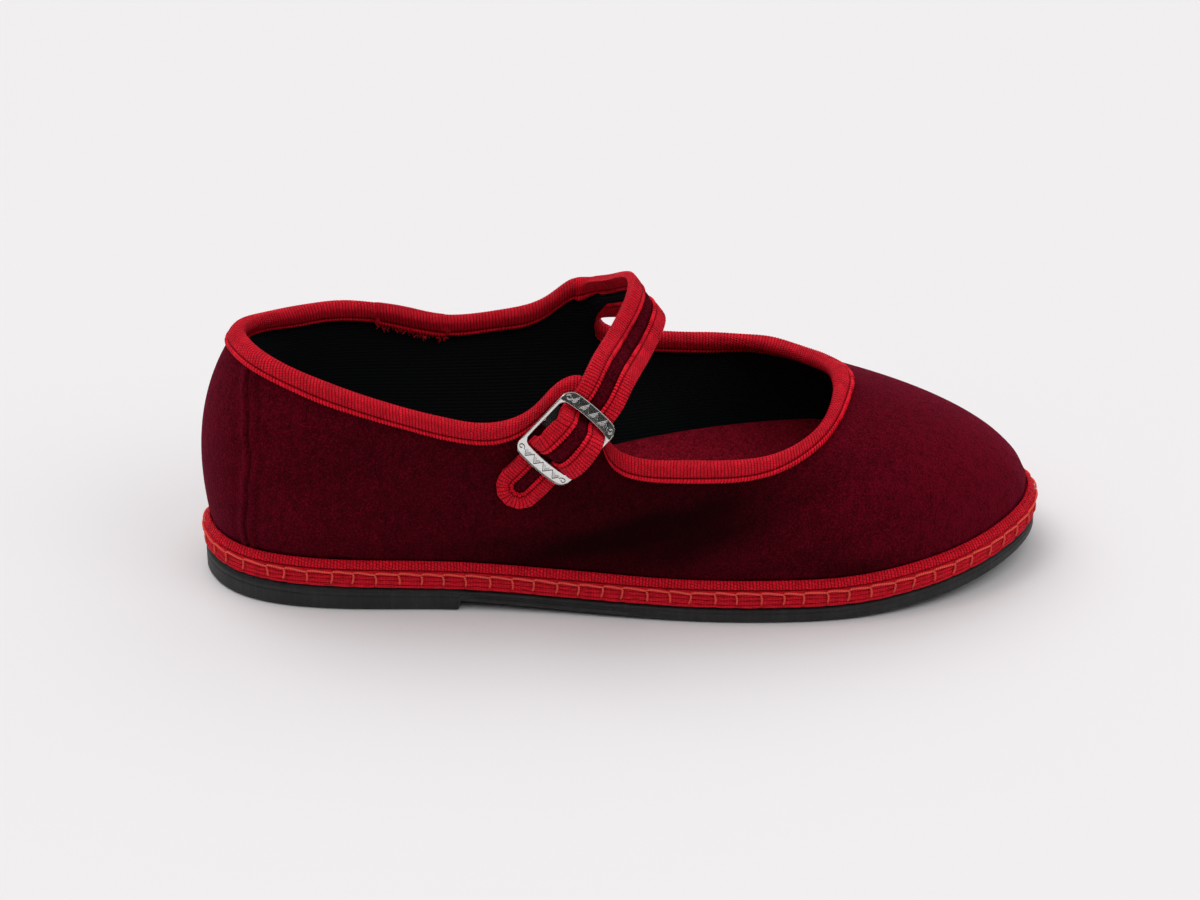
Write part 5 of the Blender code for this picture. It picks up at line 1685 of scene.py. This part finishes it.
def buckle_bar():
    half = BUCKLE_WIDTH / 2 - BUCKLE_SIDE_BAR * 0.7
    drop = CENTRE_BAR_LIFT - FRAME_LIFT
    across = np.linspace(-half, half, 40)
    angle = np.linspace(0, 2 * np.pi, 20, endpoint=False)
    waist = CENTRE_BAR_RADIUS * (1 + 0.12 * (np.abs(across) / half) ** 6)
    along = waist[:, None] * np.cos(angle)
    out = drop + waist[:, None] * np.sin(angle)
    grid = buckle_points(along, np.broadcast_to(across[:, None], along.shape), out)
    piece("buckle_bar", grid, SILVER, close=False, smooth_angle=60.0)


def elastic_loop():
    """Woven elastic, sewn to the ear, which folds round the buckle's middle bar."""
    half_width = BUCKLE_WIDTH / 2 - BUCKLE_SIDE_BAR - CLEARANCE * 2
    radius = CENTRE_BAR_RADIUS + CLEARANCE + ELASTIC_THICKNESS / 2
    path = list(ELASTIC_SEWN_END)
    for angle in np.radians(np.linspace(-100, 165, 40)):
        path.append((radius * np.cos(angle), CENTRE_BAR_LIFT + radius * np.sin(angle)))
    path = np.array([(along, lift - FRAME_LIFT + FRAME_TILT * along) for along, lift in path])
    first = path[:2]
    start = first[0] + (first[1] - first[0]) * np.linspace(0, 1, 6)[:-1, None]
    second = first[1] + (path[2] - first[1]) * np.linspace(0, 1, 8)[:-1, None]
    path = np.vstack([start, second, path[2:]])
    tangent = unit(np.gradient(path, axis=0))
    side = np.column_stack([-tangent[:, 1], tangent[:, 0]]) * ELASTIC_THICKNESS / 2
    ring = np.vstack([path + side, (path - side)[::-1]])
    across = np.linspace(-half_width, half_width, 120)
    cord = 1 + 0.10 * np.sin(across / ELASTIC_CORD * 2 * np.pi)[:, None]
    middle = np.vstack([path, path[::-1]])
    swell = middle[None] + (ring - middle)[None] * cord[..., None]
    grid = buckle_points(swell[..., 0], np.broadcast_to(across[:, None], swell.shape[:2]), swell[..., 1])
    piece("elastic_loop", grid, ELASTIC, close=False, replaces=("buckle_loop",))


# Floor, light and camera

def studio():
    scene = bpy.context.scene
    corners = [(x, y, 0) for x, y in ((-1, -1), (1, -1), (1, 1), (-1, 1))]
    mesh = bpy.data.meshes.new("floor")
    mesh.from_pydata([Vector(corner) * FLOOR_REACH for corner in corners], [], [(0, 1, 2, 3)])
    paper = Shader("pale paper")
    tone = paper.noise(0.004, 2.0).ramp(0.0, 1.0)
    paper.set(colour=paper.mix(tone, (0.80, 0.786, 0.793), (0.81, 0.796, 0.803)), roughness=0.95)
    paper.set(Specular_IOR_Level=0.1)
    mesh.materials.append(paper.material)
    floor = bpy.data.objects.new("floor", mesh)
    scene.collection.objects.link(floor)
    world = bpy.data.worlds.new("studio")
    scene.world = world
    world.use_nodes = True
    background = world.node_tree.nodes["Background"]
    # A pale dome, with a dark screen half way up it on the lateral side
    sky = Nodes(world.node_tree)
    _, depth, height = sky.split(sky.out("TexCoord", "Generated"))
    dome = height.ramp(0.16, 0.75, 0.03, DOME_STRENGTH, "SMOOTHSTEP")
    screen = depth.ramp(-0.40, -0.72, kind="SMOOTHSTEP")
    for low, high in ((0.14, 0.26), (0.72, 0.56)):
        screen = screen * height.ramp(low, high, kind="SMOOTHSTEP")
    sky.put(background.inputs["Color"], (1.0, 0.992, 0.996))
    sky.put(background.inputs["Strength"], dome * (screen * -SCREEN_DARKNESS + 1.0))
    sun("key", (-0.45, 0.35, 1.0), 50.0, KEY_STRENGTH)
    sun("side", (0.8, -0.5, 0.9), 40.0, SIDE_STRENGTH)
    lens = bpy.data.cameras.new("camera")
    lens.sensor_width = SENSOR_WIDTH
    lens.lens = SENSOR_WIDTH * CAMERA_FOCAL_PIXELS / IMAGE[0]
    lens.shift_x = (IMAGE[0] / 2 - TARGET_PIXEL[0]) / IMAGE[0]
    lens.shift_y = (TARGET_PIXEL[1] - IMAGE[1] / 2) / IMAGE[0]
    lens.clip_end = 30.0
    camera = bpy.data.objects.new("camera", lens)
    scene.collection.objects.link(camera)
    elevation, yaw = np.radians([CAMERA_ELEVATION, CAMERA_YAW])
    back = Vector((np.sin(yaw) * np.cos(elevation), -np.cos(yaw) * np.cos(elevation), np.sin(elevation)))
    camera.location = Vector(np.array(CAMERA_TARGET) - [*centre, 0.0]) + back * CAMERA_DISTANCE
    camera.rotation_euler = (-back).to_track_quat("-Z", "Y").to_euler()
    scene.camera = camera
    scene.view_settings.view_transform = "Standard"


def sun(name, direction, angle, strength):
    data = bpy.data.lights.new(name, "SUN")
    data.angle = np.radians(angle)
    data.energy = strength
    light = bpy.data.objects.new(name, data)
    light.rotation_euler = Vector(direction).to_track_quat("Z", "Y").to_euler()
    bpy.context.scene.collection.objects.link(light)


rubber_sole()
midsole_edge()
edge_stitches()
sole_tape()
insole_pad()
upper_velvet()
lining()
topline_ribbon()
ribbon_join()
strap_velvet_and_lining()
strap_ribbon()
buckle_metal()
buckle_bar()
elastic_loop()
studio()
